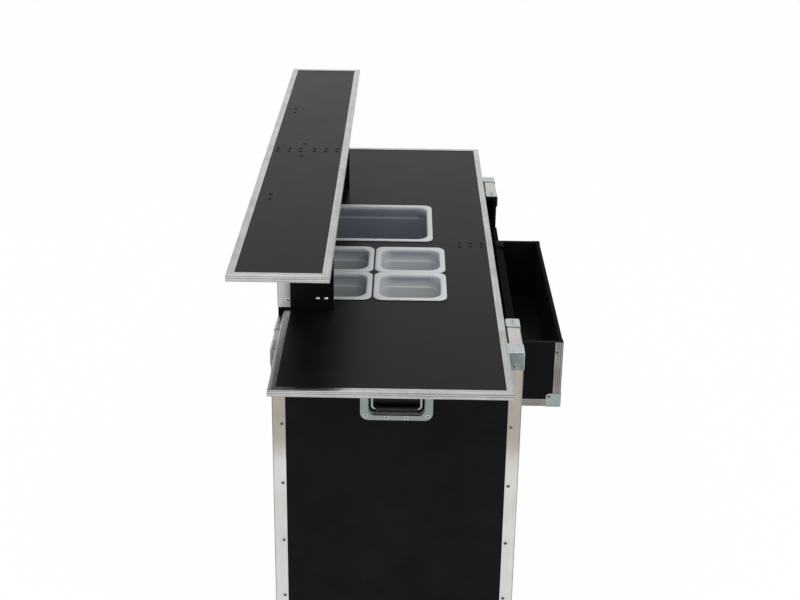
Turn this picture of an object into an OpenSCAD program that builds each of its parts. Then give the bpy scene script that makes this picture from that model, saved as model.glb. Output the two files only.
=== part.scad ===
// Folding portable bar: two half cases on feet carry a two-leaf worktop with food pans, a riser with a
// two-leaf counter shelf, a folding front panel and a bottle rack that hangs on a cross rail.
// X runs from the customer (-) to the server (+), Y along the bar, Z up from the floor, in millimetres.

/* [End cases] */
// Width of each half case, customer face to server face
case_w = 554; // [500:1:620]
// Depth of each half case along the bar
case_d = 170; // [150:1:220]
// Height of each half case without its feet
case_h = 825; // [700:1:900]
// Distance of each half case's outer end from the worktop's end
case_set_in = 220; // [200:1:240]
// Thickness of every plywood panel
ply_t = 9; // [7:0.5:12]
// Leg of the aluminium edge angles on the cases
angle_leg = 30; // [26:1:34]
// Wall of the aluminium angles
angle_t = 1.5; // [1.2:0.1:2]
// Outer edge radius of the aluminium angles
angle_r = 3; // [2.5:0.1:4]
// Leg of the zinc corner caps
cap_leg = 42; // [38:1:46]
// Wall of the zinc fittings
zinc_t = 1.5; // [1:0.1:2]
// Length of the zinc braces at the open rims
brace_l = 42; // [38:1:52]
// How far the customer-side braces stand back from the open rim
brace_back = 30; // [20:1:38]
// Height of the rubber feet
foot_h = 28; // [20:1:40]
// Radius of the rubber feet
foot_r = 19; // [14:1:24]
// Clearance of the feet from the corner caps and from the open rim
foot_inset = 2; // [1:1:8]
// Height of the rubber strips that the worktop rests on
pad_h = 2.7; // [2.7:0.1:10]
// Width of those strips
pad_w = 30; // [20:1:40]
// Number of rivets up each upright angle
upright_rivets = 6; // [3:1:8]
// Distance of the first rivet from the end of its angle
rivet_end = 33; // [24:1:36]

/* [Handles] */
// Width of the recessed handle plate
dish_w = 162; // [150:1:180]
// Height of the recessed handle plate
dish_h = 128; // [120:1:150]
// Width of the opening in the plate
dish_open_w = 125; // [116:1:130]
// Height of the opening in the plate
dish_open_h = 102; // [92:1:104]
// Corner radius of the opening
dish_open_r = 15; // [12:1:26]
// Corner radius of the plate
dish_r = 18; // [8:1:22]
// Depth of the recess behind the plate
dish_depth = 20; // [18:1:26]
// Height from the top of the case to the top of the plate
dish_drop = 44; // [35:1:80]
// Sideways distance between the arms of the bail
bail_w = 110; // [94:1:112]
// Length of the bail's arms, pivot to grip
bail_arm = 48; // [44:1:50]
// Radius of the bail's rod
bail_r = 3.5; // [3:0.25:4]
// Radius of the grip on the bail
grip_r = 7.5; // [6:0.5:8]
// Length of the grip on the bail
grip_l = 94; // [70:1:96]

/* [Worktop] */
// Length of one worktop leaf
leaf_l = 800; // [760:1:840]
// Width of the worktop
top_w = 502; // [480:1:530]
// Distance of the worktop's customer edge behind the cases' customer face
top_set_back = 15; // [13:1:20]
// Thickness of the worktop and of the shelf, trim included
top_t = 14; // [12:0.5:20]
// Width of the trim on the top face
trim_w = 16; // [12:0.5:24]
// Wall of the trim
trim_t = 1.2; // [1:0.1:2]
// Gap between a leaf and the middle of the seam
seam = 0.2; // [0.1:0.1:1]

/* [Pans] */
// Length of the large pan along X
big_pan_x = 325; // [300:1:330]
// Width of the large pan along Y
big_pan_y = 265; // [240:1:280]
// Depth of the large pan below its rim
big_pan_z = 150; // [100:1:180]
// Length of a small pan along X
small_pan_x = 176; // [160:1:178]
// Width of a small pan along Y
small_pan_y = 162; // [150:1:176]
// Depth of a small pan below its rim
small_pan_z = 100; // [65:1:150]
// Width of the flat rim round each pan
pan_rim = 12; // [10:0.5:14]
// Height of the rim
pan_rim_t = 3; // [2:0.5:4]
// Wall of the pans
pan_wall = 2.5; // [2:0.1:3.5]
// Corner radius of a pan's rim
pan_r = 22; // [18:1:28]
// Depth of the stacking shoulder below the rim
pan_shoulder = 32; // [20:1:45]
// How far the walls step in at the shoulder
pan_step = 4; // [3:0.5:6]
// Gap between the two columns of small pans, along X
pan_gap = 2; // [1:0.5:6]
// Gap between the two rows of small pans, along Y
pan_row_gap = 1; // [1:0.5:4]
// Distance from the seam to the small pans
small_pan_seam = 27; // [18:1:30]
// Distance from the seam to the large pan
big_pan_seam = 16; // [16:1:40]
// Distance from the worktop's customer edge to the pans
pan_edge = 23; // [20:1:40]

/* [Riser and shelf] */
// Height of the shelf's top above the worktop's top
shelf_rise = 252; // [200:1:300]
// Length of one shelf leaf
shelf_leaf_l = 800; // [760:1:830]
// Width of the counter shelf
shelf_w = 205; // [190:1:240]
// How far the shelf stands out past the riser on the customer side
shelf_out = 61; // [45:1:70]
// Length of the riser along the bar
riser_l = 820; // [780:1:900]
// Depth of the riser's returns, from the customer face
riser_d = 129; // [110:1:140]
// Height of the riser's aluminium uprights above the worktop
upright_up = 5; // [0:0.5:8]
// Length of each foot angle on the worktop, along Y
foot_reach = 44; // [40:1:46]
// Length of each foot angle along X
foot_l = 54; // [48:1:60]
// Height of each foot angle up the return
foot_up = 44; // [36:1:60]
// Wall of the foot angles
foot_t = 3; // [2:0.5:4]
// Radius of the thumbscrew heads
knob_r = 10; // [8:0.5:12]
// Height of the thumbscrew heads
knob_h = 9; // [6:0.5:14]
// Number of grip flutes round a thumbscrew head
knob_flutes = 10; // [6:1:16]

/* [Bottle rack] */
// Length of the bottle rack along the bar
rack_l = 650; // [500:1:700]
// Width of the rack, inner face to outer face
rack_w = 117; // [95:1:150]
// Height of the rack
rack_h = 172; // [140:1:200]
// Height from the worktop's top down to the rack's top edge
rack_drop = 117; // [110:1:160]
// Leg of the aluminium angles on the rack
rack_leg = 20; // [16:1:26]
// Leg of the rack's zinc corner caps
rack_cap = 36; // [32:1:44]
// Thickness of the cross rail
rail_t = 12; // [9:0.5:16]
// Height of the cross rail
rail_h = 60; // [50:1:80]
// Width of each hook along the rail
hook_w = 40; // [30:1:60]
// Wall of the hooks
hook_t = 2; // [1.5:0.5:3]

/* [Hinges and fasteners] */
// Radius of a hinge pin
pin_r = 2; // [1.5:0.25:2.5]
// Wall of a hinge knuckle round its pin
knuckle_wall = 1.8; // [1.5:0.1:2.2]
// Thickness of a hinge plate
hinge_t = 1.5; // [1.2:0.1:2]
// Width of a hinge plate, axis to free edge
hinge_w = 24; // [20:1:30]
// Spacing of the rivets along a hinge
hinge_pitch = 28.5; // [24:0.5:32]
// Radius of a rivet's head
rivet_r = 4.5; // [3:0.25:5]
// Height of a rivet's head
rivet_h = 1.2; // [0.8:0.1:1.6]
// Radial play of a pin in its hole
pin_fit = 0.06; // [0.03:0.01:0.1]
// Gap between pieces that part when the bar is taken down
part_gap = 0.3; // [0.2:0.1:0.6]

/* [Hidden] */

black_ply = "#1d1d1e";
blackened = "#353537";
aluminium = "#c8c6c1";
zinc = "#b4bec4";
rubber = "#171717";
frosted = "#dde3e4";
$fn = 48;
over = 1;

// Case outline
case_x = case_w / 2;
end_y = leaf_l - case_set_in;
rim_y = end_y - case_d;
case_z0 = foot_h;
case_z1 = foot_h + case_h;
panel_x = case_x - angle_t;
panel_y = end_y - angle_t;
panel_z0 = case_z0 + angle_t;
panel_z1 = case_z1 - angle_t;
inner_x = panel_x - ply_t;
inner_y = panel_y - ply_t;
cap_lap = 9;
angle_cut = cap_leg - cap_lap;
foot_collar = 6;
foot_taper = 3;
pad_x = 60;
pad_l = 3 * pad_w;
pad_y = end_y - cap_leg - pad_w;
rivet_edge = 8;
leg_mid = angle_leg - rivet_edge;
end_rivets = 4;
end_rivet_in = 79;
brace_rivet = 12;
brace_y0 = rim_y + brace_back;
brace_y1 = brace_y0 + brace_l;

// Worktop and what stands on it
top_z = case_z1 + pad_h + part_gap + top_t;
board_z = top_z - trim_t;
top_x0 = -case_x + top_set_back;
top_x1 = top_x0 + top_w;
top_mid = (top_x0 + top_x1) / 2;
shelf_z = top_z + shelf_rise;
shelf_under = shelf_z - top_t;
shelf_x0 = -case_x - shelf_out;
shelf_mid = shelf_x0 + shelf_w / 2;
trim_groove = 0.4;
riser_y = riser_l / 2;
riser_x1 = -case_x + riser_d;
riser_top = shelf_under - part_gap;
return_out = riser_y - angle_t;
return_in = return_out - ply_t;

// Hinges: the pin lies below the plate so that a knuckle clears the neighbouring leaf
knuckle_r = pin_r + knuckle_wall;
hinge_drop = knuckle_r + part_gap;
hinge_end = 9.75;
hinge_l = 2 * (hinge_pitch + hinge_end);
hinge_row = 11;
knuckles = 5;
shelf_hinge_out = 46;
top_hinge_in = 58;
front_hinge_in = 110;
shelf_hinge_x = [shelf_mid - shelf_hinge_out, shelf_mid + shelf_hinge_out];
top_hinge_x = [top_x1 - top_hinge_in, top_x0 + top_hinge_in];
front_hinge_z = [case_z0 + front_hinge_in, (case_z0 + case_z1) / 2, case_z1 - front_hinge_in];

// Rack and rail
rail_x0 = inner_x;
rail_x1 = rail_x0 + rail_t;
rack_x0 = rail_x1 + part_gap;
rack_x1 = rack_x0 + rack_w;
rack_y = rack_l / 2;
rack_z1 = top_z - rack_drop;
rack_z0 = rack_z1 - rack_h;
rail_up = 6;
rail_z1 = rack_z1 + rail_up;
rack_skin = angle_t;
rack_lap = 6;
rack_rivet_edge = 6;
rack_leg_mid = rack_leg - rack_rivet_edge;
rack_rivet_end = 25;
rack_rivet_in = 20;
cap_rivet_in = 8;
cap_rivet = rack_cap - cap_rivet_in;
hook_down = 60;
hook_drop = 24;
hook_rivets = [14, 44];
hook_in = 45;
hook_y = rack_y - hook_in;
bracket_reach = 32;
bracket_edge = 10;
bracket_rivet = 18;

// Handles
dish_mid_z = case_z1 - dish_drop - dish_h / 2;
dish_wall = 1.5;
dish_play = 1;
dish_flange = (dish_h - dish_open_h) / 2;
dish_rivet_x = 22;
dish_rivet_in = 12;
dish_rivets = [[dish_rivet_x, dish_h / 2 - dish_flange / 2],
               [dish_w / 2 - dish_rivet_in, dish_h / 2 - dish_flange * 0.85]];
pivot_up = 8;
pivot_in = 9;
pivot_z = dish_mid_z + pivot_up;
pivot_y = panel_y - pivot_in;
ear_t = 3;
ear_h = 16;
ear_back = 2;
stub_gap = 1;

// Foot angles, thumbscrews, domed screws and catches of the riser
foot_in = 3;
foot_x1 = riser_x1 - foot_in;
foot_x0 = foot_x1 - foot_l;
knob_edge_x = 1;
knob_edge_y = 3;
knob_x = foot_x1 - knob_r - knob_edge_x;
knob_y = return_in - foot_reach + knob_r + knob_edge_y;
flute_r = 1.6;
flute_out = 0.6;
shank_r = 3;
shank_l = 9;
shank_bite = shank_l - foot_t;
screw_r = 4.5;
screw_rim = 1;
screw_dome = 1.8;
screw_up = 28;
screw_in = 17;
screw_pitch = 19;
riser_rivet_end = 24;
riser_rivet_edge = 7;
riser_leg_mid = angle_leg - riser_rivet_edge;
notch_play = 4;
notch_deep = 2 * hinge_drop + 1;
catch_y = 49;
catch_l = 24;
catch_d = 16;
catch_h = 17;
catch_set = 1;
strike_l = 26;
strike_t = 1;
strike_rivet = 19;
locator_in = 63;
locator_y = riser_y - locator_in;
locator_l = 54;
locator_leaf = 36;
locator_web = 22;
locator_pitch = 34;
locator_rivet = 19;

// The origin is on the floor under the middle of the whole bar, shelf edge to rack face
origin_x = (shelf_x0 + rack_x1 + zinc_t) / 2;

// ---- helpers ----

module bar() { translate([-origin_x, 0, 0]) children(); }

module both_ends() { for (m = [0, 1]) mirror([0, m, 0]) children(); }

module both_sides() { for (m = [0, 1]) mirror([m, 0, 0]) children(); }

// A box between two corners
module block(a, b) { translate(a) cube(b - a); }

module rounded_rect(w, h, r) {
    square([w - 2 * r, h], center = true);
    square([w, h - 2 * r], center = true);
    for (x = [-1, 1], y = [-1, 1]) translate([x * (w / 2 - r), y * (h / 2 - r)]) circle(r);
}

module rounded_slab(w, h, r, t) { linear_extrude(t) rounded_rect(w, h, r); }

// A box with its three faces at the origin's corner rounded into one another
module rounded_corner(l, r) {
    translate([0, r, r]) cube([l, l - r, l - r]);
    translate([r, 0, r]) cube([l - r, l, l - r]);
    translate([r, r, 0]) cube([l - r, l - r, l]);
    translate([r, r, r]) {
        sphere(r);
        cylinder(r = r, h = l - r);
        rotate([0, 90, 0]) cylinder(r = r, h = l - r);
        rotate([-90, 0, 0]) cylinder(r = r, h = l - r);
    }
}

// An L section with its outer corner at the origin and legs towards +X and +Y
module angle_section(a, b, t, r) {
    difference() {
        union() {
            translate([r, 0]) square([a - r, b]);
            translate([0, r]) square([a, b - r]);
            translate([r, r]) circle(r);
        }
        translate([t, t]) square([a, b]);
    }
}

module angle_run(len, a, b, t) { linear_extrude(len) angle_section(a, b, t, angle_r); }

// A zinc corner cap that wraps a box corner at the origin, the box lying towards +X, +Y and +Z
module corner_cap(leg) {
    difference() {
        translate([-zinc_t, -zinc_t, -zinc_t]) rounded_corner(leg + zinc_t, angle_r + zinc_t);
        rounded_corner(leg + over, angle_r);
    }
}

// A rivet head that stands on the XY plane
module rivet() { cylinder(h = rivet_h, r1 = rivet_r, r2 = rivet_r * 0.6); }

// Edge trim along +X: its outer face is at y = 0, its top at z = 0, and each end is mitred (1) or square (0)
module trim_run(len, mitre_a, mitre_b) {
    band = top_t / 3;
    section = [[0, 0], [trim_w, 0], [trim_w, -trim_t], [trim_t, -trim_t], [trim_t, -top_t], [0, -top_t],
               [0, -2 * band - trim_groove], [trim_groove, -2 * band], [0, -2 * band + trim_groove],
               [0, -band - trim_groove], [trim_groove, -band], [0, -band + trim_groove]];
    intersection() {
        rotate([90, 0, 90]) linear_extrude(len) polygon(section);
        translate([0, 0, -top_t - over]) linear_extrude(top_t + 2 * over)
            polygon([[0, -over], [len, -over], [len, 0], [len - mitre_b * trim_w, trim_w],
                     [mitre_a * trim_w, trim_w], [0, 0]]);
    }
}

// The near leaf's trim, centred on X, with its top at z = 0
module leaf_trim(w, l) {
    translate([-w / 2, -l, 0]) trim_run(w, 1, 1);
    both_sides() translate([-w / 2, -seam, 0]) rotate([0, 0, -90]) trim_run(l - seam, 0, 1);
}

// The near leaf's board, centred on X
module leaf_board(w, l) {
    block([-w / 2 + trim_t, -l + trim_t, -top_t], [w / 2 - trim_t, -seam, -trim_t]);
}

// One hinge plate with its knuckles: axis along X through the origin, plate towards +Y under z = hinge_drop
module hinge_plate(first) {
    cell = hinge_l / knuckles;
    difference() {
        union() {
            block([0, hinge_drop, hinge_drop - hinge_t], [hinge_l, hinge_w, hinge_drop]);
            for (i = [first : 2 : knuckles - 1]) {
                block([i * cell + part_gap / 2, 0, knuckle_r - hinge_t],
                      [(i + 1) * cell - part_gap / 2, hinge_drop, hinge_drop]);
                translate([i * cell + part_gap / 2, 0, 0]) rotate([0, 90, 0])
                    cylinder(r = knuckle_r, h = cell - part_gap);
            }
        }
        translate([-over, 0, 0]) rotate([0, 90, 0]) cylinder(r = pin_r + pin_fit, h = hinge_l + 2 * over);
        for (i = [1 - first : 2 : knuckles - 1])
            block([i * cell - part_gap / 2, -over, -over],
                  [(i + 1) * cell + part_gap / 2, hinge_drop, hinge_drop + over]);
    }
}

module hinge_pin() { rotate([0, 90, 0]) cylinder(r = pin_r, h = hinge_l); }

// Hinge plates under a seam: side -1 is the near leaf and side 1 the far leaf
module seam_plates(places, z, side) {
    for (x = places) translate([x - hinge_l / 2, 0, z - hinge_drop])
        mirror([0, side < 0 ? 1 : 0, 0]) hinge_plate(side < 0 ? 0 : 1);
}

module seam_pins(places, z) { for (x = places) translate([x - hinge_l / 2, 0, z - hinge_drop]) hinge_pin(); }

// Three rivet heads over each hinge, on the side of one leaf
module seam_rivets(places, z, side) {
    for (x = places, i = [-1, 0, 1]) translate([x + i * hinge_pitch, side * hinge_row, z]) rivet();
}

// ---- end cases ----

module end_panel() {
    difference() {
        block([-panel_x, -panel_y, panel_z0], [panel_x, -inner_y, panel_z1]);
        translate([0, -panel_y - over, dish_mid_z]) rotate([-90, 0, 0])
            rounded_slab(dish_open_w + 2 * dish_wall + dish_play, dish_open_h + 2 * dish_wall + dish_play,
                         dish_open_r + dish_wall, ply_t + 2 * over);
    }
}

module side_panels() {
    both_sides() block([inner_x, -inner_y, panel_z0 + ply_t], [panel_x, -rim_y, panel_z1 - ply_t]);
}

module top_panel() { block([-panel_x, -inner_y, panel_z1 - ply_t], [panel_x, -rim_y, panel_z1]); }

module bottom_panel() { block([-panel_x, -inner_y, panel_z0], [panel_x, -rim_y, panel_z0 + ply_t]); }

module near_end_panel() { color(black_ply) bar() end_panel(); }
module near_side_panels() { color(black_ply) bar() side_panels(); }
module near_top_panel() { color(black_ply) bar() top_panel(); }
module near_bottom_panel() { color(black_ply) bar() bottom_panel(); }
module far_end_panel() { color(black_ply) bar() mirror([0, 1, 0]) end_panel(); }
module far_side_panels() { color(black_ply) bar() mirror([0, 1, 0]) side_panels(); }
module far_top_panel() { color(black_ply) bar() mirror([0, 1, 0]) top_panel(); }
module far_bottom_panel() { color(black_ply) bar() mirror([0, 1, 0]) bottom_panel(); }

// Edge angles of the case at -Y: two uprights, two across the end face, four along the side edges
module edge_angles() {
    both_sides() {
        translate([-case_x, -end_y, case_z0 + angle_cut])
            angle_run(case_h - 2 * angle_cut, angle_leg, angle_leg, angle_t);
        translate([-case_x, -rim_y, case_z1]) rotate([90, 0, 0]) mirror([0, 1, 0])
            angle_run(case_d - angle_cut, angle_leg, angle_leg, angle_t);
        translate([-case_x, -rim_y, case_z0]) rotate([90, 0, 0])
            angle_run(case_d - angle_cut, angle_leg, angle_leg, angle_t);
    }
    translate([case_x - angle_cut, -end_y, case_z0]) rotate([0, -90, 0])
        angle_run(case_w - 2 * angle_cut, angle_leg, angle_leg, angle_t);
    translate([case_x - angle_cut, -end_y, case_z1]) rotate([0, -90, 0]) mirror([1, 0, 0])
        angle_run(case_w - 2 * angle_cut, angle_leg, angle_leg, angle_t);
}

module case_edge_angles() { color(aluminium) bar() both_ends() edge_angles(); }

module case_corner_caps() {
    color(zinc) bar() both_ends() both_sides() {
        translate([-case_x, -end_y, case_z0]) corner_cap(cap_leg);
        translate([-case_x, -end_y, case_z1]) mirror([0, 0, 1]) corner_cap(cap_leg);
    }
}

module case_rim_braces() {
    color(zinc) bar() both_ends() for (z = [0, 1]) {
        translate([0, 0, z * (case_z0 + case_z1)]) mirror([0, 0, z]) {
            translate([-case_x, -brace_y1, case_z0]) brace_shell();
            mirror([1, 0, 0]) translate([-case_x, -rim_y - brace_l, case_z0]) brace_shell();
        }
    }
}

// The brace's L section, wrapped outside a box edge that runs along +Y from the origin
module brace_shell() {
    rotate([90, 0, 0]) mirror([0, 0, 1]) linear_extrude(brace_l) translate([-zinc_t, -zinc_t])
        angle_section(angle_leg + 2 * zinc_t, angle_leg + 2 * zinc_t, zinc_t, angle_r + zinc_t);
}

// Rivet heads of the case at -Y
module shell_rivets() {
    pitch = (case_h - 2 * rivet_end) / (upright_rivets - 1);
    end_pitch = (case_w - 2 * end_rivet_in) / (end_rivets - 1);
    both_sides() for (i = [0 : upright_rivets - 1]) {
        z = case_z0 + rivet_end + i * pitch;
        proud = (i == 0 || i == upright_rivets - 1) ? zinc_t : 0;
        translate([case_x - leg_mid, -end_y - proud, z]) rotate([90, 0, 0]) rivet();
        translate([case_x + proud, -end_y + leg_mid, z]) rotate([0, 90, 0]) rivet();
    }
    for (i = [0 : end_rivets - 1], z = [case_z0 + leg_mid, case_z1 - leg_mid])
        translate([-case_x + end_rivet_in + i * end_pitch, -end_y, z]) rotate([90, 0, 0]) rivet();
    both_sides() for (p = dish_rivets, s = [-1, 1])
        translate([p[0], -panel_y - dish_wall, dish_mid_z + s * p[1]]) rotate([90, 0, 0]) rivet();
    for (y = [brace_rivet, brace_l - brace_rivet]) {
        translate([case_x - angle_leg / 2, -rim_y - y, case_z1 + zinc_t]) rivet();
        translate([-case_x + angle_leg / 2, -brace_y0 - y, case_z1 + zinc_t]) rivet();
        translate([case_x + zinc_t, -rim_y - y, case_z1 - leg_mid]) rotate([0, 90, 0]) rivet();
        translate([-case_x - zinc_t, -brace_y0 - y, case_z1 - leg_mid]) rotate([0, -90, 0]) rivet();
    }
}

module case_rivets() { color(zinc) bar() both_ends() shell_rivets(); }

module feet() {
    edge = foot_r + foot_inset;
    color(rubber) bar() both_ends() both_sides() for (y = [rim_y + edge, end_y - cap_leg - edge])
        translate([case_x - cap_leg - edge, -y, 0]) {
            cylinder(h = foot_h - foot_collar, r1 = foot_r - foot_taper, r2 = foot_r);
            translate([0, 0, foot_h - foot_collar]) cylinder(h = foot_collar + angle_t, r = foot_r);
        }
}

module rest_pads() {
    color(rubber) bar() both_ends() both_sides()
        block([pad_x, -pad_y, panel_z1], [pad_x + pad_l, -pad_y + pad_w, case_z1 + pad_h]);
}

// ---- recessed handles ----

module handle_dish() {
    translate([0, -panel_y, dish_mid_z]) rotate([90, 0, 0]) difference() {
        union() {
            rounded_slab(dish_w, dish_h, dish_r, dish_wall);
            translate([0, 0, -dish_depth - dish_wall])
                rounded_slab(dish_open_w + 2 * dish_wall, dish_open_h + 2 * dish_wall,
                             dish_open_r + dish_wall, dish_depth + dish_wall);
        }
        difference() {
            translate([0, 0, -dish_depth])
                rounded_slab(dish_open_w, dish_open_h, dish_open_r, dish_depth + dish_wall + over);
            both_sides() translate([dish_open_w / 2 - ear_t, pivot_up - ear_h / 2, -dish_depth])
                cube([ear_t + dish_wall, ear_h, dish_depth - ear_back]);
        }
        translate([-dish_open_w / 2, pivot_up, -pivot_in]) rotate([0, 90, 0])
            cylinder(r = bail_r + pin_fit, h = dish_open_w);
    }
}

// The bail hangs down from its pivots: two arms, a cross bar and two pivot stubs
module bail() {
    translate([0, -pivot_y, pivot_z]) {
        both_sides() {
            translate([bail_w / 2, 0, 0]) {
                sphere(bail_r);
                mirror([0, 0, 1]) cylinder(r = bail_r, h = bail_arm);
                rotate([0, 90, 0]) cylinder(r = bail_r, h = (dish_open_w - bail_w) / 2 - stub_gap);
                translate([0, 0, -bail_arm]) sphere(bail_r);
            }
        }
        translate([-bail_w / 2, 0, -bail_arm]) rotate([0, 90, 0]) cylinder(r = bail_r, h = bail_w);
    }
}

module grip() {
    translate([-grip_l / 2, -pivot_y, pivot_z - bail_arm]) rotate([0, 90, 0]) difference() {
        cylinder(r = grip_r, h = grip_l);
        translate([0, 0, -over]) cylinder(r = bail_r, h = grip_l + 2 * over);
    }
}

module near_handle_dish() { color(zinc) bar() handle_dish(); }
module near_handle_bail() { color(zinc) bar() bail(); }
module near_handle_grip() { color(rubber) bar() grip(); }
module far_handle_dish() { color(zinc) bar() mirror([0, 1, 0]) handle_dish(); }
module far_handle_bail() { color(zinc) bar() mirror([0, 1, 0]) bail(); }
module far_handle_grip() { color(rubber) bar() mirror([0, 1, 0]) grip(); }

// ---- front panel, rail ----

module front_near_leaf() {
    color(black_ply) bar() block([-panel_x, -rim_y, panel_z0], [-inner_x, -part_gap / 2, panel_z1]);
}

module front_far_leaf() {
    color(black_ply) bar() block([-panel_x, part_gap / 2, panel_z0], [-inner_x, rim_y - part_gap, panel_z1]);
}

// Puts a hinge on the front face with its axis upright at the middle of the bar
module front_hinge_place() {
    for (z = front_hinge_z) translate([-panel_x - hinge_drop, 0, z - hinge_l / 2])
        multmatrix([[0, 0, 1, 0], [0, 1, 0, 0], [1, 0, 0, 0], [0, 0, 0, 1]]) children();
}

module front_near_hinges() { color(zinc) bar() front_hinge_place() mirror([0, 1, 0]) hinge_plate(0); }
module front_far_hinges() { color(zinc) bar() front_hinge_place() hinge_plate(1); }
module front_hinge_pins() { color(aluminium) bar() front_hinge_place() hinge_pin(); }

module cross_rail() {
    color(black_ply) bar() block([rail_x0, -rim_y, rail_z1 - rail_h], [rail_x1, rim_y, rail_z1]);
}

// Angle brackets that hold the rail's ends inside the side walls
module rail_brackets() {
    color(zinc) bar() both_ends() {
        block([rail_x0 - zinc_t, -rim_y - bracket_reach, rail_z1 - rail_h + bracket_edge],
              [rail_x0, -rim_y + bracket_reach, rail_z1 - bracket_edge]);
        for (s = [-1, 1]) translate([rail_x0 - zinc_t, -rim_y + s * bracket_rivet, rail_z1 - rail_h / 2])
            rotate([0, -90, 0]) rivet();
    }
}

// ---- bottle rack ----

module rack_inner_wall() {
    color(black_ply) bar() block([rack_x0, -rack_y + rack_skin, rack_z0 + rack_skin],
                                 [rack_x0 + ply_t, rack_y - rack_skin, rack_z1]);
}

module rack_outer_wall() {
    color(black_ply) bar() block([rack_x1 - rack_skin - ply_t, -rack_y + rack_skin, rack_z0 + rack_skin],
                                 [rack_x1 - rack_skin, rack_y - rack_skin, rack_z1]);
}

module rack_end_panels() {
    color(black_ply) bar() both_ends()
        block([rack_x0 + ply_t, -rack_y + rack_skin, rack_z0 + rack_skin],
              [rack_x1 - rack_skin - ply_t, -rack_y + rack_skin + ply_t, rack_z1]);
}

module rack_floor() {
    inset = rack_skin + ply_t;
    color(black_ply) bar() block([rack_x0 + ply_t, -rack_y + inset, rack_z0 + rack_skin],
                                 [rack_x1 - inset, rack_y - inset, rack_z0 + inset]);
}

// Angles on the rack's outer uprights, its two bottom end edges and its bottom front edge
module rack_angles() {
    cut = rack_cap - rack_lap;
    color(aluminium) bar() {
        both_ends() {
            translate([rack_x1, -rack_y, rack_z0 + cut]) mirror([1, 0, 0])
                angle_run(rack_h - cut, rack_leg, rack_leg, angle_t);
            translate([rack_x1 - cut, -rack_y, rack_z0]) rotate([0, -90, 0])
                angle_run(rack_w - cut, rack_leg, rack_leg, angle_t);
        }
        translate([rack_x1, rack_y - cut, rack_z0]) rotate([90, 0, 0]) mirror([1, 0, 0])
            angle_run(rack_l - 2 * cut, rack_leg, rack_leg, angle_t);
    }
}

module rack_corner_caps() {
    color(zinc) bar() both_ends()
        translate([rack_x1, -rack_y, rack_z0]) mirror([1, 0, 0]) corner_cap(rack_cap);
}

// Hooks from the rack's inner wall over the cross rail
module rack_hooks() {
    color(blackened) bar() both_ends() translate([0, -hook_y - hook_w / 2, 0]) {
        top = rail_z1 + part_gap;
        back = rack_x0 + ply_t;
        block([back, 0, rack_z1 - hook_down], [back + hook_t, hook_w, top + hook_t]);
        block([rail_x0 - part_gap - hook_t, 0, top], [back, hook_w, top + hook_t]);
        block([rail_x0 - part_gap - hook_t, 0, rail_z1 - hook_drop], [rail_x0 - part_gap, hook_w, top]);
    }
}

module rack_rivets() {
    low_z = rack_z0 + rack_leg_mid;
    high_z = rack_z1 - rack_rivet_end;
    color(zinc) bar() {
        both_ends() {
            translate([rack_x1 - rack_leg_mid, -rack_y, high_z]) rotate([90, 0, 0]) rivet();
            translate([rack_x1 - cap_rivet, -rack_y - zinc_t, rack_z0 + cap_rivet]) rotate([90, 0, 0]) rivet();
            translate([rack_x0 + rack_rivet_in, -rack_y, low_z]) rotate([90, 0, 0]) rivet();
            translate([rack_x1, -rack_y + rack_leg_mid, high_z]) rotate([0, 90, 0]) rivet();
            translate([rack_x1 + zinc_t, -rack_y + cap_rivet, rack_z0 + cap_rivet]) rotate([0, 90, 0]) rivet();
            for (z = hook_rivets)
                translate([rack_x0 + ply_t + hook_t, -hook_y, rack_z1 - z]) rotate([0, 90, 0]) rivet();
        }
        for (i = [-1, 0, 1]) translate([rack_x1, i * rack_l / 4, low_z]) rotate([0, 90, 0]) rivet();
    }
}

// ---- worktop and pans ----

// Low corner (x, y) of each small pan's rim, rows away from the seam, columns from the customer's side
small_corners = [for (row = [0, 1], col = [0, 1])
    [top_x0 + pan_edge + col * (small_pan_x + pan_gap),
     -small_pan_seam - (row + 1) * small_pan_y - row * pan_row_gap]];
big_corner = [top_x0 + pan_edge, big_pan_seam];

// The cut-out for a pan: its body plus play all round
module pan_cut(corner, l, w) {
    play = 2;
    translate([corner[0] + l / 2, corner[1] + w / 2, top_z - top_t - over])
        rounded_slab(l - 2 * pan_rim + 2 * play, w - 2 * pan_rim + 2 * play, pan_r - pan_rim / 2 + play,
                     top_t + 2 * over);
}

// A pan: flat rim, straight collar, stacking shoulder and a slightly smaller body, open at the top
module pan(corner, l, w, deep) {
    rim_z = board_z + part_gap;
    neck_l = l - 2 * pan_rim;
    neck_w = w - 2 * pan_rim;
    neck_r = pan_r - pan_rim / 2;
    low = 2 * pan_step;
    translate([corner[0] + l / 2, corner[1] + w / 2, rim_z]) difference() {
        union() {
            rounded_slab(l, w, pan_r, pan_rim_t);
            translate([0, 0, -pan_shoulder]) rounded_slab(neck_l, neck_w, neck_r, pan_shoulder);
            translate([0, 0, pan_rim_t - deep])
                rounded_slab(neck_l - low, neck_w - low, neck_r, deep - pan_shoulder);
        }
        translate([0, 0, -pan_shoulder + pan_wall])
            rounded_slab(neck_l - 2 * pan_wall, neck_w - 2 * pan_wall, neck_r - pan_wall,
                         pan_shoulder + pan_rim_t);
        translate([0, 0, pan_rim_t - deep + pan_wall])
            rounded_slab(neck_l - low - 2 * pan_wall, neck_w - low - 2 * pan_wall, neck_r - pan_wall,
                         deep);
    }
}

module big_pan() { color(frosted) bar() pan(big_corner, big_pan_x, big_pan_y, big_pan_z); }
module small_pan(i) { color(frosted) bar() pan(small_corners[i], small_pan_x, small_pan_y, small_pan_z); }
module small_pan_1() { small_pan(0); }
module small_pan_2() { small_pan(1); }
module small_pan_3() { small_pan(2); }
module small_pan_4() { small_pan(3); }

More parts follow.
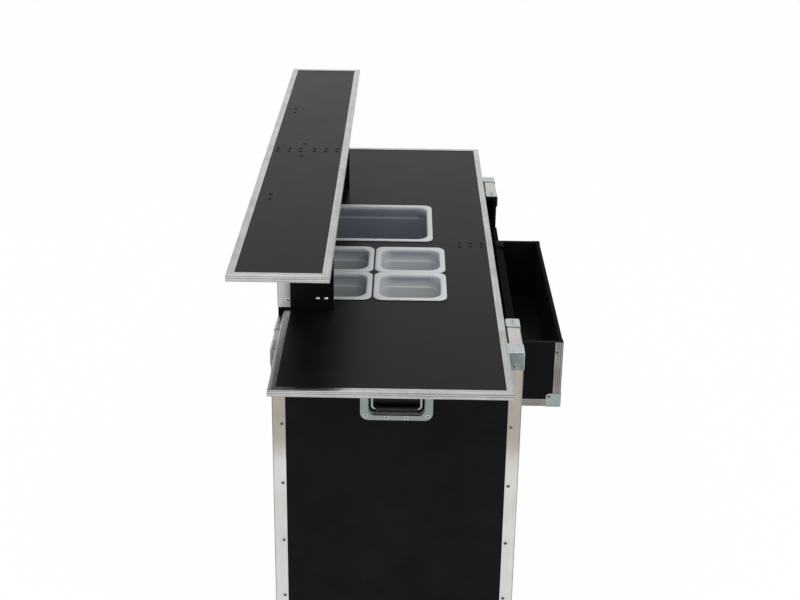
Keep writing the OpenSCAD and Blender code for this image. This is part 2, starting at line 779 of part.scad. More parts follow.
// Blind holes for the thumbscrews in a leaf
module shank_hole() {
    translate([knob_x, -knob_y, board_z - shank_bite - over]) cylinder(r = shank_r + pin_fit, h = top_t);
}

module worktop_near_board() {
    color(black_ply) bar() difference() {
        translate([top_mid, 0, top_z]) leaf_board(top_w, leaf_l);
        for (c = small_corners) pan_cut(c, small_pan_x, small_pan_y);
        shank_hole();
    }
}

module worktop_far_board() {
    color(black_ply) bar() difference() {
        translate([top_mid, 0, top_z]) mirror([0, 1, 0]) leaf_board(top_w, leaf_l);
        pan_cut(big_corner, big_pan_x, big_pan_y);
        mirror([0, 1, 0]) shank_hole();
    }
}

module worktop_trim() {
    color(aluminium) bar() translate([top_mid, 0, top_z]) both_ends() leaf_trim(top_w, leaf_l);
}

module worktop_hinges() {
    color(zinc) bar() {
        for (side = [-1, 1]) seam_plates(top_hinge_x, top_z - top_t, side);
        seam_pins(top_hinge_x, top_z - top_t);
    }
}

module worktop_rivets() {
    color(blackened) bar() for (side = [-1, 1]) seam_rivets(top_hinge_x, board_z, side);
}

// ---- riser ----

// The front panel is notched at the middle for the shelf's hinges, and clears the braces on the cases
module riser_front() {
    color(black_ply) bar() difference() {
        block([-panel_x, -return_out, case_z1 + part_gap], [-inner_x, return_out, riser_top]);
        block([-panel_x - over, -hinge_w - notch_play, riser_top - notch_deep],
              [-inner_x + over, hinge_w + notch_play, riser_top + over]);
        both_ends() block([-panel_x - over, -brace_y1 - part_gap, case_z1],
                          [-inner_x + over, -brace_y0 + part_gap, case_z1 + zinc_t + part_gap]);
    }
}

module riser_returns() {
    color(black_ply) bar() both_ends()
        block([-inner_x, -return_out, top_z], [riser_x1, -return_in, riser_top]);
}

module riser_uprights() {
    color(aluminium) bar() both_ends() translate([-case_x, -riser_y, top_z + upright_up])
        angle_run(riser_top - top_z - upright_up, angle_leg, angle_leg, angle_t);
}

// A foot angle stands on the worktop inside each return
module riser_foot_angles() {
    color(blackened) bar() both_ends() difference() {
        union() {
            block([foot_x0, -return_in, board_z], [foot_x1, -return_in + foot_reach, board_z + foot_t]);
            block([foot_x0, -return_in, board_z], [foot_x1, -return_in + foot_t, board_z + foot_up]);
        }
        translate([knob_x, -knob_y, board_z - over]) cylinder(r = shank_r + pin_fit, h = foot_t + 2 * over);
    }
}

// Domed screws through each return, and rivets on the uprights
module riser_screws() {
    pitch = (riser_top - top_z - 2 * riser_rivet_end) / 2;
    color(zinc) bar() both_ends() {
        for (i = [0, 1]) translate([riser_x1 - screw_in - i * screw_pitch, -return_out, board_z + screw_up])
            rotate([90, 0, 0]) {
                cylinder(r = screw_r, h = screw_rim);
                translate([0, 0, screw_rim]) cylinder(r1 = screw_r, r2 = screw_r / 2, h = screw_dome);
            }
        for (i = [0, 1, 2])
            translate([-case_x + riser_leg_mid, -riser_y, top_z + riser_rivet_end + i * pitch])
                rotate([90, 0, 0]) rivet();
    }
}

// Magnet blocks inside the riser, under the shelf's strike plates
module shelf_catches() {
    high = riser_top - catch_set;
    color(rubber) bar() both_ends() block([-inner_x, -catch_y - catch_l / 2, high - catch_h],
                                          [-inner_x + catch_d, -catch_y + catch_l / 2, high]);
}

module thumbscrew() {
    translate([knob_x, -knob_y, board_z + foot_t + part_gap]) {
        difference() {
            cylinder(r = knob_r, h = knob_h);
            for (i = [0 : knob_flutes - 1]) rotate([0, 0, i * 360 / knob_flutes])
                translate([knob_r + flute_out, 0, -over]) cylinder(r = flute_r, h = knob_h + 2 * over);
        }
        translate([0, 0, -shank_l]) cylinder(r = shank_r, h = shank_l);
    }
}

module near_thumbscrew() { color(blackened) bar() thumbscrew(); }
module far_thumbscrew() { color(blackened) bar() mirror([0, 1, 0]) thumbscrew(); }

// ---- counter shelf ----

module shelf_place() { translate([shelf_mid, 0, shelf_z]) children(); }

module shelf_near_board() { color(black_ply) bar() shelf_place() leaf_board(shelf_w, shelf_leaf_l); }
module shelf_near_trim() { color(aluminium) bar() shelf_place() leaf_trim(shelf_w, shelf_leaf_l); }

module shelf_far_board() {
    color(black_ply) bar() shelf_place() mirror([0, 1, 0]) leaf_board(shelf_w, shelf_leaf_l);
}

module shelf_far_trim() {
    color(aluminium) bar() shelf_place() mirror([0, 1, 0]) leaf_trim(shelf_w, shelf_leaf_l);
}

// A locating angle hooks over the riser's customer face, and a strike plate sits over each magnet
module shelf_fittings() {
    web_x = -panel_x - part_gap;
    locator_y0 = -locator_y - locator_l / 2;
    locator_y1 = -locator_y + locator_l / 2;
    block([web_x - locator_leaf, locator_y0, shelf_under - zinc_t], [web_x, locator_y1, shelf_under]);
    block([web_x - zinc_t, locator_y0, shelf_under - locator_web], [web_x, locator_y1, shelf_under - zinc_t]);
    block([-inner_x + catch_set, -catch_y - catch_l / 2, shelf_under - strike_t],
          [-inner_x + catch_set + strike_l, -catch_y + catch_l / 2, shelf_under]);
}

// Rivet heads of those fittings, on the shelf's top
module fitting_rivets() {
    web_x = -panel_x - part_gap;
    for (s = [-1, 1])
        translate([web_x - locator_rivet, -locator_y + s * locator_pitch / 2, shelf_z - trim_t]) rivet();
    translate([-inner_x + catch_set + strike_rivet, -catch_y, shelf_z - trim_t]) rivet();
}

module shelf_near_fittings() {
    color(zinc) bar() {
        shelf_fittings();
        seam_plates(shelf_hinge_x, shelf_under, -1);
    }
    color(blackened) bar() {
        fitting_rivets();
        seam_rivets(shelf_hinge_x, shelf_z - trim_t, -1);
    }
}

module shelf_far_fittings() {
    color(zinc) bar() {
        mirror([0, 1, 0]) shelf_fittings();
        seam_plates(shelf_hinge_x, shelf_under, 1);
    }
    color(blackened) bar() {
        mirror([0, 1, 0]) fitting_rivets();
        seam_rivets(shelf_hinge_x, shelf_z - trim_t, 1);
    }
}

module shelf_hinge_pins() { color(aluminium) bar() seam_pins(shelf_hinge_x, shelf_under); }

near_end_panel();
near_side_panels();
near_top_panel();
near_bottom_panel();
near_handle_dish();
near_handle_bail();
near_handle_grip();
far_end_panel();
far_side_panels();
far_top_panel();
far_bottom_panel();
far_handle_dish();
far_handle_bail();
far_handle_grip();
case_edge_angles();
case_corner_caps();
case_rim_braces();
case_rivets();
feet();
rest_pads();
front_near_leaf();
front_far_leaf();
front_near_hinges();
front_far_hinges();
front_hinge_pins();
cross_rail();
rail_brackets();
rack_inner_wall();
rack_outer_wall();
rack_end_panels();
rack_floor();
rack_angles();
rack_corner_caps();
rack_hooks();
rack_rivets();
worktop_near_board();
worktop_far_board();
worktop_trim();
worktop_hinges();
worktop_rivets();
big_pan();
small_pan_1();
small_pan_2();
small_pan_3();
small_pan_4();
riser_front();
riser_returns();
riser_uprights();
riser_foot_angles();
riser_screws();
shelf_catches();
near_thumbscrew();
far_thumbscrew();
shelf_near_board();
shelf_far_board();
shelf_near_trim();
shelf_far_trim();
shelf_near_fittings();
shelf_far_fittings();
shelf_hinge_pins();
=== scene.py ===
"""Folding portable bar in flight-case style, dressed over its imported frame.

The frame gives every piece its place. Each class below holds one sub-assembly: its sizes are fields in
millimetres, its methods work out the surfaces and hand the finished pieces to the bodies they ride on.
"""

from __future__ import annotations

import logging
import math
from dataclasses import dataclass, field, replace
from enum import Enum
from typing import Iterator, Sequence

import bmesh
import bpy
import numpy as np
from mathutils import Matrix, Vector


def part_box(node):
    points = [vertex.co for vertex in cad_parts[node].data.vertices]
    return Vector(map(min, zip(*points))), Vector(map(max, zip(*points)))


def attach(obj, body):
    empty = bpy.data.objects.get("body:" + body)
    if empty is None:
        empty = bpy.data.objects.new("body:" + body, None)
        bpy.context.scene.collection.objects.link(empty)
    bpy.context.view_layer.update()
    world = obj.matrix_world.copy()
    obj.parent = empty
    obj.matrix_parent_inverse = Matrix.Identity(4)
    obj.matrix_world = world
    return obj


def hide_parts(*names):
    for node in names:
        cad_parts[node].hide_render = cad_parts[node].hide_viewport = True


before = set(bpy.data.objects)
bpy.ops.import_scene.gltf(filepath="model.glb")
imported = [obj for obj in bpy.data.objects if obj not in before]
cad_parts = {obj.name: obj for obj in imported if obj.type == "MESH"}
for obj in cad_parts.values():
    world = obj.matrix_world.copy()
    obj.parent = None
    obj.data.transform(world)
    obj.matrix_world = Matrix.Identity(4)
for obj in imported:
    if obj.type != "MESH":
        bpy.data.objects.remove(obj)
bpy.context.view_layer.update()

MM = 0.001
LOG = logging.getLogger("portable_bar")
HOLLOW = "hollow"  # attribute that holds how far each point lies down a groove
GROOVE_DEPTH = 0.8  # millimetres at which a point counts as fully hollow
HEAD_REACH = 9.6  # a little more than a head's width, in millimetres
HEAD_BRIM = 0.22  # height of a head's brim, as a share of the head's height
BLIND_RISE = 1.2  # a blind rivet's dressed height, as a share of its packed height
CREASE_DEG = 38.0  # edges that turn by more than this stay sharp

Tree = bpy.types.NodeTree
Socket = bpy.types.NodeSocket
Corners = Sequence[tuple[float, float, float]]

X_AXIS = np.array([1.0, 0.0, 0.0])
Y_AXIS = np.array([0.0, 1.0, 0.0])
Z_AXIS = np.array([0.0, 0.0, 1.0])


class End(Enum):
    """The two ends of the bar: the value is the sign of Y there."""

    NEAR = -1
    FAR = 1

    @property
    def label(self) -> str:
        """Prefix of the node names at this end."""
        return self.name.lower()


# --- Colours, nodes and finishes ---


def linear(colour: str) -> tuple[float, float, float, float]:
    """Turns an sRGB hex colour to linear red, green, blue and alpha.

    Args:
        colour: six hex digits with a leading hash.

    Returns:
        The linear colour with an alpha of one.
    """
    parts = np.array([int(colour[i : i + 2], 16) for i in (1, 3, 5)]) / 255
    low = parts / 12.92
    high = ((parts + 0.055) / 1.055) ** 2.4
    return (*(float(v) for v in np.where(parts <= 0.04045, low, high)), 1.0)


def add_node(
    tree: Tree,
    kind: str,
    values: dict[str | int, object] | None = None,
    links: dict[str | int, Socket] | None = None,
    stops: Sequence[tuple[float, str]] = (),
    **settings: object,
) -> bpy.types.Node:
    """Adds a node, sets it up and links it.

    Args:
        tree: the tree that gets the node.
        kind: the node's type, without the ShaderNode that all of them start with.
        values: input socket to constant value.
        links: input socket to the socket that feeds it.
        stops: position and hex colour of each stop, in order, where the node is a colour ramp.
        **settings: properties of the node itself.

    Returns:
        The new node.
    """
    node = tree.nodes.new(f"ShaderNode{kind}")
    for name, value in settings.items():
        setattr(node, name, value)
    for socket, value in (values or {}).items():
        node.inputs[socket].default_value = value
    for socket, source in (links or {}).items():
        tree.links.new(source, node.inputs[socket])
    if stops:
        elements = node.color_ramp.elements
        while len(elements) < len(stops):
            elements.new(0.5)
        for element, (position, colour) in zip(elements, stops):
            element.position = position
            element.color = linear(colour)
    return node


@dataclass(frozen=True)
class Finish:
    """A real material and how its surface was made.

    Attributes:
        name: the material's name.
        roughness: middle of the roughness.
        metallic: one for bare metal.
        specular: specular level of the coat or plastic.
        cloud_mm: size of the clouds in its tone.
        fine_mm: size of its finest texture.
        drift: what the roughness gains where its noise is low, and where it is high.
        relief_mm: real depth of the finest texture.
        relief_share: share of that depth that shows.
    """

    name: str = "finish"
    roughness: float = 0.4
    metallic: float = 0.0
    specular: float = 0.5
    cloud_mm: float = 24.0
    fine_mm: float = 1.2
    drift: tuple[float, float] = (-0.05, 0.1)
    relief_mm: float = 0.02
    relief_share: float = 0.2

    def material(self) -> bpy.types.Material:
        """Builds this finish's material the first time, and finds it again after that.

        Returns:
            The material.
        """
        made = bpy.data.materials.get(self.name)
        if made is None:
            made = bpy.data.materials.new(self.name)
            made.use_nodes = True
            tree = made.node_tree
            tree.nodes.clear()
            shader = add_node(tree, "BsdfPrincipled", self.constants(), self.pattern(tree))
            add_node(tree, "OutputMaterial", links={"Surface": shader.outputs["BSDF"]})
        return made

    def constants(self) -> dict[str, object]:
        """Returns the shader's values that are the same all over the surface."""
        return {"Roughness": self.roughness, "Metallic": self.metallic, "Specular IOR Level": self.specular}

    def pattern(self, tree: Tree) -> dict[str, Socket]:
        """Works out what changes over the surface: colour, roughness and relief.

        Args:
            tree: the material's nodes.

        Returns:
            Input of the shader to the socket that feeds it.
        """
        raise NotImplementedError

    def grain(
        self, tree: Tree, size_mm: float, detail: float = 2.0, source: str = "Object",
        stretch: tuple[float, float, float] = (1.0, 1.0, 1.0),
    ) -> Socket:
        """Adds noise whose grains have a real size.

        Args:
            tree: the material's nodes.
            size_mm: width of one grain in millimetres.
            detail: octaves of finer noise.
            source: output of the texture coordinates that the noise reads.
            stretch: how many times finer the noise is along each axis.

        Returns:
            The noise's value socket.
        """
        place = add_node(tree, "TexCoord")
        mapped = add_node(tree, "Mapping", {"Scale": stretch}, {"Vector": place.outputs[source]})
        noise = add_node(
            tree, "TexNoise",
            {"Scale": 1 / (size_mm * MM), "Detail": detail, "Roughness": 0.55},
            {"Vector": mapped.outputs["Vector"]},
        )
        return noise.outputs["Fac"]

    def along_axes(self, tree: Tree, source: str) -> bpy.types.bpy_prop_collection:
        """Splits the place on the object (Object) or the way it faces (Normal) into X, Y and Z.

        Args:
            tree: the material's nodes.
            source: output of the texture coordinates.

        Returns:
            The three sockets.
        """
        place = add_node(tree, "TexCoord")
        return add_node(tree, "SeparateXYZ", links={"Vector": place.outputs[source]}).outputs

    def spread(self, tree: Tree, noise: Socket, low: float, high: float) -> Socket:
        """Spreads a noise, which keeps to about 0.3 to 0.7, over a range.

        Args:
            tree: the material's nodes.
            noise: the noise's socket.
            low: result at the low end.
            high: result at the high end.

        Returns:
            The spread value's socket.
        """
        ends = {"From Min": 0.3, "From Max": 0.7, "To Min": low, "To Max": high}
        return add_node(tree, "MapRange", ends, {"Value": noise}).outputs["Result"]

    def gloss(self, tree: Tree, noise: Socket) -> Socket:
        """Lets the roughness drift with a noise."""
        low, high = self.drift
        return self.spread(tree, noise, self.roughness + low, self.roughness + high)

    def tones(self, tree: Tree, noise: Socket, low: str, high: str) -> Socket:
        """Runs from one hex colour to another with a noise."""
        stops = [(0.35, low), (0.7, high)]
        return add_node(tree, "ValToRGB", links={"Fac": noise}, stops=stops).outputs["Color"]

    def skin(self, tree: Tree, colour: Socket) -> dict[str, Socket]:
        """Returns a colour together with the gloss and the relief that the finest texture gives."""
        fine = self.grain(tree, self.fine_mm)
        return {"Base Color": colour, "Roughness": self.gloss(tree, fine), "Normal": self.relief(tree, fine)}

    def relief(self, tree: Tree, height: Socket) -> Socket:
        """Returns the normal of the small relief that a height of about 0 to 1 gives."""
        values = {"Strength": self.relief_share, "Distance": self.relief_mm * MM}
        return add_node(tree, "Bump", values, {"Height": height}).outputs["Normal"]


@dataclass(frozen=True)
class FilmFacedPlywood(Finish):
    """Birch plywood faced with black phenolic film: satin, with a fine pressed texture and dull cut edges.

    Attributes:
        film: the film's tone.
        film_worn: its tone where hands touch it.
        edge_dark: tone of the plies that are cut across.
        edge_light: tone of the plies that are cut along.
        edge_duller: what a cut edge adds to the roughness.
        ply_mm: thickness of one ply.
        board_axis: the axis that runs through the board's thickness.
    """

    name: str = "black film-faced birch plywood"
    roughness: float = 0.34
    specular: float = 0.055
    cloud_mm: float = 90.0
    fine_mm: float = 1.4
    drift: tuple[float, float] = (-0.02, 0.03)
    relief_mm: float = 0.05
    relief_share: float = 0.25
    film: str = "#0e0e0f"
    film_worn: str = "#151516"
    edge_dark: str = "#080808"
    edge_light: str = "#131211"
    edge_duller: float = 0.5
    ply_mm: float = 1.3
    board_axis: str = "X"

    def pattern(self, tree: Tree) -> dict[str, Socket]:
        """Mottles the film, rules the plies on the cut edges and presses the fine texture.

        Args:
            tree: the material's nodes.

        Returns:
            Input of the shader to the socket that feeds it.
        """
        broad = self.grain(tree, self.cloud_mm, 4)
        film = self.tones(tree, broad, self.film, self.film_worn)
        thick = "XYZ".index(self.board_axis)
        facing = self.along_axes(tree, "Normal")
        level = add_node(tree, "Math", links={0: facing[thick]}, operation="ABSOLUTE")
        cut = add_node(tree, "Math", {1: 0.5}, {0: level.outputs[0]}, operation="LESS_THAN")
        turns = add_node(
            tree, "Math", {1: math.pi / (self.ply_mm * MM)},
            {0: self.along_axes(tree, "Object")[thick]}, operation="MULTIPLY",
        )
        wave = add_node(tree, "Math", links={0: turns.outputs[0]}, operation="SINE")
        half = add_node(tree, "Math", {1: 0.5, 2: 0.5}, {0: wave.outputs[0]}, operation="MULTIPLY_ADD")
        plies = add_node(
            tree, "ValToRGB", links={"Fac": half.outputs[0]},
            stops=[(0.3, self.edge_dark), (0.7, self.edge_light)],
        )
        colour = add_node(
            tree, "Mix", links={"Factor": cut.outputs[0], 6: film, 7: plies.outputs["Color"]},
            data_type="RGBA",
        )
        dull = add_node(
            tree, "Math", {1: self.edge_duller},
            {0: cut.outputs[0], 2: self.gloss(tree, broad)}, operation="MULTIPLY_ADD",
        )
        fine = self.grain(tree, self.fine_mm, 1)
        return {"Base Color": colour.outputs[2], "Roughness": dull.outputs[0],
                "Normal": self.relief(tree, fine)}


@dataclass(frozen=True)
class DrawnAluminium(Finish):
    """Extruded aluminium in mill finish: soft grey, fine draw lines along its length, shade painted in its
    grooves.

    Attributes:
        light: tone of the ridges between draw lines.
        dark: tone of the draw lines.
        groove_shade: tone of the shade painted into grooves and along free edges.
        upper_shade: tint of the shade painted on the upper stretch, where the worktop overhangs, on faces
            that look along the bar or up.
        upper_shade_z: height at which the painted shade fades out, in metres.
        upper_shade_fade: how far above and below that height it fades, in metres.
        on_top: how strongly faces that look up take the painted shade.
        cloud_share: share of the tone that follows the clouds; the draw lines have the rest.
        line_mm: spacing of the draw lines, drawn coarser than the real ones so that they show.
        run_mm: length of one draw line.
    """

    name: str = "extruded aluminium, mill finish"
    roughness: float = 0.34
    metallic: float = 1.0
    cloud_mm: float = 60.0
    drift: tuple[float, float] = (0.1, -0.06)
    relief_share: float = 0.3
    light: str = "#d8d9d6"
    dark: str = "#b7b8b4"
    groove_shade: str = "#343532"
    upper_shade: str = "#ffffff"
    upper_shade_z: float = 0.6
    upper_shade_fade: float = 0.04
    on_top: float = 0.5
    cloud_share: float = 0.35
    line_mm: float = 0.9
    run_mm: float = 160.0

    def pattern(self, tree: Tree) -> dict[str, Socket]:
        """Draws lines that are narrow across the section and long along the run.

        Args:
            tree: the material's nodes.

        Returns:
            Input of the shader to the socket that feeds it.
        """
        lines = self.grain(tree, self.line_mm, 3, "UV", (1.0, self.line_mm / self.run_mm, 1.0))
        tone = add_node(
            tree, "Math", {1: self.cloud_share}, {0: self.grain(tree, self.cloud_mm)},
            operation="MULTIPLY",
        )
        both = add_node(
            tree, "Math", {1: 1 - self.cloud_share}, {0: lines, 2: tone.outputs[0]},
            operation="MULTIPLY_ADD",
        ).outputs[0]
        clean = add_node(
            tree, "ValToRGB", links={"Fac": both}, stops=[(0.32, self.dark), (0.68, self.light)]
        )
        # Painted shade on the upper stretch, under the worktop: a darker tint on faces that look along the
        # bar or up.
        high = add_node(
            tree, "MapRange",
            {"From Min": self.upper_shade_z - self.upper_shade_fade, "From Max": self.upper_shade_z + self.upper_shade_fade},
            {"Value": self.along_axes(tree, "Object")["Z"]}, interpolation_type="SMOOTHSTEP",
        )
        facing = self.along_axes(tree, "Normal")
        endways = add_node(tree, "Math", links={0: facing["Y"]}, operation="ABSOLUTE")
        upward = add_node(tree, "Math", {1: self.on_top}, {0: facing["Z"]}, operation="MULTIPLY")
        either = add_node(
            tree, "Math", links={0: endways.outputs[0], 1: upward.outputs[0]}, operation="MAXIMUM"
        )
        shaded_above = add_node(
            tree, "Math", links={0: high.outputs["Result"], 1: either.outputs[0]},
            operation="MULTIPLY",
        )
        upper_shaded = add_node(
            tree, "Mix", {7: linear(self.upper_shade)},
            {"Factor": shaded_above.outputs[0], 6: clean.outputs["Color"]},
            data_type="RGBA", blend_type="MULTIPLY",
        )
        # Painted shade: darkens the colour towards the groove-shade tone by how far each point lies down a
        # groove.
        hollow = add_node(tree, "Attribute", attribute_name=HOLLOW)
        groove_shaded = add_node(
            tree, "Mix", {7: linear(self.groove_shade)},
            {"Factor": hollow.outputs["Fac"], 6: upper_shaded.outputs[2]}, data_type="RGBA",
        )
        return {"Base Color": groove_shaded.outputs[2], "Roughness": self.gloss(tree, both),
                "Normal": self.relief(tree, lines)}


@dataclass(frozen=True)
class ZincPlatedSteel(Finish):
    """Pressed steel with bright zinc plating: cool grey and cloudy, with painted shade, mottled by stains, on
    faces that look along the bar.

    Attributes:
        cool: the plating's bluish tint.
        plain: its middle tone.
        straw: its greenish straw tint.
        stain_and_shade: what faces that look along the bar are multiplied by: painted shade, mottled by
            stains.
        stain_mm: size of the stains.
        stain_range: strength of the stains, from the palest to the darkest.
    """

    name: str = "bright zinc-plated steel"
    roughness: float = 0.27
    metallic: float = 1.0
    relief_mm: float = 0.015
    cool: str = "#a6b3be"
    plain: str = "#b4bbb9"
    straw: str = "#b9c1b5"
    stain_and_shade: str = "#989c98"
    stain_mm: float = 9.0
    stain_range: tuple[float, float] = (0.6, 1.05)

    def pattern(self, tree: Tree) -> dict[str, Socket]:
        """Lets the plating's tint and gloss drift in clouds, and paints shade on faces that look along the
        bar.

        Args:
            tree: the material's nodes.

        Returns:
            Input of the shader to the socket that feeds it.
        """
        clean = add_node(
            tree, "ValToRGB", links={"Fac": self.grain(tree, self.cloud_mm, 3)},
            stops=[(0.34, self.cool), (0.55, self.plain), (0.74, self.straw)],
        )
        # Painted shade: faces that look along the bar are darkened by the stain-and-shade tone, in blotches
        # that stand for stains.
        level = add_node(
            tree, "Math", links={0: self.along_axes(tree, "Normal")["Y"]}, operation="ABSOLUTE"
        )
        endways = add_node(
            tree, "MapRange", {"From Min": 0.5, "From Max": 0.9}, {"Value": level.outputs[0]}
        )
        blotches = self.grain(tree, self.stain_mm, 3, stretch=(1.6, 1.0, 0.7))
        stain = self.spread(tree, blotches, *self.stain_range)
        share = add_node(tree, "Math", links={0: endways.outputs["Result"], 1: stain}, operation="MULTIPLY")
        toned = add_node(
            tree, "Mix", {7: linear(self.stain_and_shade)},
            {"Factor": share.outputs[0], 6: clean.outputs["Color"]}, data_type="RGBA", blend_type="MULTIPLY",
        )
        return self.skin(tree, toned.outputs[2])


@dataclass(frozen=True)
class FrostedPolypropylene(Finish):
    """Moulded translucent polypropylene, with light and shade painted into its tone by depth and by facing.

    Attributes:
        rim: tone of the rim and its lip.
        side: tone of the end walls that look to the server's side: painted light.
        shade: tone of the end walls that look away from it: painted shade.
        band: tone of the long walls just under the rim: painted shade.
        wall: tone of the long walls farther down.
        ledge: tone of the line along the stacking shoulder: a painted highlight.
        ground: tone of the floor.
        shoulder_mm: depth of the stacking shoulder.
        rim_z: height of the rim's top in metres.
        depth_mm: depth of the pan.
        waver: how far the tones waver up and down the wall, as a share of the depth.
        glow_mm: how far light spreads inside the plastic.
    """

    name: str = "frosted polypropylene"
    roughness: float = 0.36
    specular: float = 0.4
    cloud_mm: float = 40.0
    fine_mm: float = 1.5
    drift: tuple[float, float] = (-0.05, 0.07)
    relief_share: float = 0.15
    rim: str = "#c3c7c9"
    side: str = "#c6c9d0"
    shade: str = "#a3a7af"
    band: str = "#838893"
    wall: str = "#b0b5b6"
    ledge: str = "#d3d6d8"
    ground: str = "#bcc1c0"
    shoulder_mm: float = 32.0
    rim_z: float = 0.87
    depth_mm: float = 100.0
    waver: float = 0.012
    glow_mm: float = 4.0

    def constants(self) -> dict[str, object]:
        """Adds the light that spreads inside the plastic to the shader's constant values."""
        spread = (self.glow_mm * MM,) * 3
        glow = {"Subsurface Weight": 0.2, "Subsurface Radius": spread, "Subsurface Scale": 1.0}
        return super().constants() | glow

    def pattern(self, tree: Tree) -> dict[str, Socket]:
        """Paints light and shade into the tone by depth, on the long walls another way than on the end walls.

        Args:
            tree: the material's nodes.

        Returns:
            Input of the shader to the socket that feeds it.
        """
        deep = add_node(
            tree, "MapRange",
            {"From Min": self.rim_z, "From Max": self.rim_z - self.depth_mm * MM},
            {"Value": self.along_axes(tree, "Object")["Z"]},
        )
        depth = add_node(
            tree, "Math", {1: self.waver}, {0: self.grain(tree, self.cloud_mm), 2: deep.outputs[0]},
            operation="MULTIPLY_ADD",
        ).outputs[0]
        shoulder = self.shoulder_mm
        places = (4.0, 11.0, 24.0, shoulder - 3.0, shoulder - 0.5, shoulder + 2.5)
        lip, band, below, over, ledge, under = (self.waver / 2 + place / self.depth_mm for place in places)
        # Painted shade in a band under the rim, and a painted highlight along the shoulder's ledge.
        long_walls = add_node(
            tree, "ValToRGB", links={"Fac": depth},
            stops=[(lip, self.rim), (band, self.band), (below, self.wall), (over, self.wall),
                   (ledge, self.ledge), (under, self.wall), (0.85, self.wall), (0.97, self.ground)],
        )
        # Lit and shaded copies of the end walls' tone: painted light on walls that face the server's side,
        # painted shade on those that face away.
        lit, shaded = (
            add_node(
                tree, "ValToRGB", links={"Fac": depth},
                stops=[(lip, self.rim), (below, tone), (0.7, tone), (0.97, self.ground)],
            ).outputs["Color"]
            for tone in (self.side, self.shade)
        )
        facing = self.along_axes(tree, "Normal")
        toward = add_node(tree, "MapRange", {"From Min": -0.3, "From Max": 0.3}, {"Value": facing["X"]})
        end_walls = add_node(
            tree, "Mix", links={"Factor": toward.outputs["Result"], 6: shaded, 7: lit},
            data_type="RGBA",
        )
        endways = add_node(tree, "Math", links={0: facing["X"]}, operation="ABSOLUTE")
        colour = add_node(
            tree, "Mix",
            links={"Factor": endways.outputs[0], 6: long_walls.outputs["Color"], 7: end_walls.outputs[2]},
            data_type="RGBA",
        )
        return self.skin(tree, colour.outputs[2])


@dataclass(frozen=True)
class MouldedRubber(Finish):
    """Black moulded rubber or soft plastic: matt, with a fine eroded mould texture.

    Attributes:
        dark: the darkest tone.
        light: the tone where dust lies.
    """

    name: str = "moulded black rubber"
    roughness: float = 0.62
    specular: float = 0.3
    cloud_mm: float = 22.0
    fine_mm: float = 1.1
    drift: tuple[float, float] = (-0.07, 0.08)
    relief_mm: float = 0.08
    relief_share: float = 0.4
    dark: str = "#0c0c0c"
    light: str = "#191919"

    def pattern(self, tree: Tree) -> dict[str, Socket]:
        """Gives the mould's fine grain and a little dust in the tone.

        Args:
            tree: the material's nodes.

        Returns:
            Input of the shader to the socket that feeds it.
        """
        cloud = self.grain(tree, self.cloud_mm, 3)
        return self.skin(tree, self.tones(tree, cloud, self.dark, self.light))


@dataclass(frozen=True)
class BlackenedSteel(Finish):
    """Blackened steel, oiled: dark and smooth, so that it shows only small highlights.

    Attributes:
        dark: the darkest tone.
        light: the tone where the blacking is thin.
    """

    name: str = "blackened steel"
    roughness: float = 0.5
    specular: float = 0.03
    cloud_mm: float = 12.0
    drift: tuple[float, float] = (-0.05, 0.08)
    dark: str = "#070708"
    light: str = "#101011"

    def pattern(self, tree: Tree) -> dict[str, Socket]:
        """Lets the blacking vary a little from head to head.

        Args:
            tree: the material's nodes.

        Returns:
            Input of the shader to the socket that feeds it.
        """
        cloud = self.grain(tree, self.cloud_mm)
        colour = self.tones(tree, cloud, self.dark, self.light)
        return {"Base Color": colour, "Roughness": self.gloss(tree, cloud)}


PLY_X = FilmFacedPlywood("black film-faced plywood, upright across")
PLY_Y = FilmFacedPlywood("black film-faced plywood, upright along", board_axis="Y")
PLY_Z = FilmFacedPlywood("black film-faced plywood, flat", board_axis="Z")
# The rack's outer wall: a lighter film than the other panels, painted light inside the rack's shade.
LIGHTENED_PLY_X = FilmFacedPlywood("black film-faced plywood, lightened", film="#151515", film_worn="#1e1e1e")
# The rack's end panels: a greenish film with lighter cut edges.
EDGE_TONED_PLY_Y = FilmFacedPlywood(
    "black film-faced plywood, worn edges", board_axis="Y", film="#0c0e0c", film_worn="#131513",
    edge_dark="#161815", edge_light="#2a2c28")
ALUMINIUM = DrawnAluminium()
# The case angles take a darker, slightly warm tint up top: painted shade under the worktop.
CASE_ANGLE = DrawnAluminium(
    "extruded aluminium angle, handled", light="#dedddb", dark="#c6c4c1", upper_shade="#d0c9c0")
EDGING = DrawnAluminium(
    "extruded aluminium edging", light="#cbcecc", dark="#8e908d", line_mm=2.0, run_mm=240.0, roughness=0.2)
RACK_ANGLE = DrawnAluminium("extruded aluminium angle, dull", light="#aaa5a3", dark="#7d7876", roughness=0.4)
ZINC = ZincPlatedSteel()
PRESSED_PLATE = ZincPlatedSteel(
    "zinc-plated pressed plate", cool="#909a9c", plain="#989e9b", straw="#9fa29b", stain_and_shade="#ebedeb")
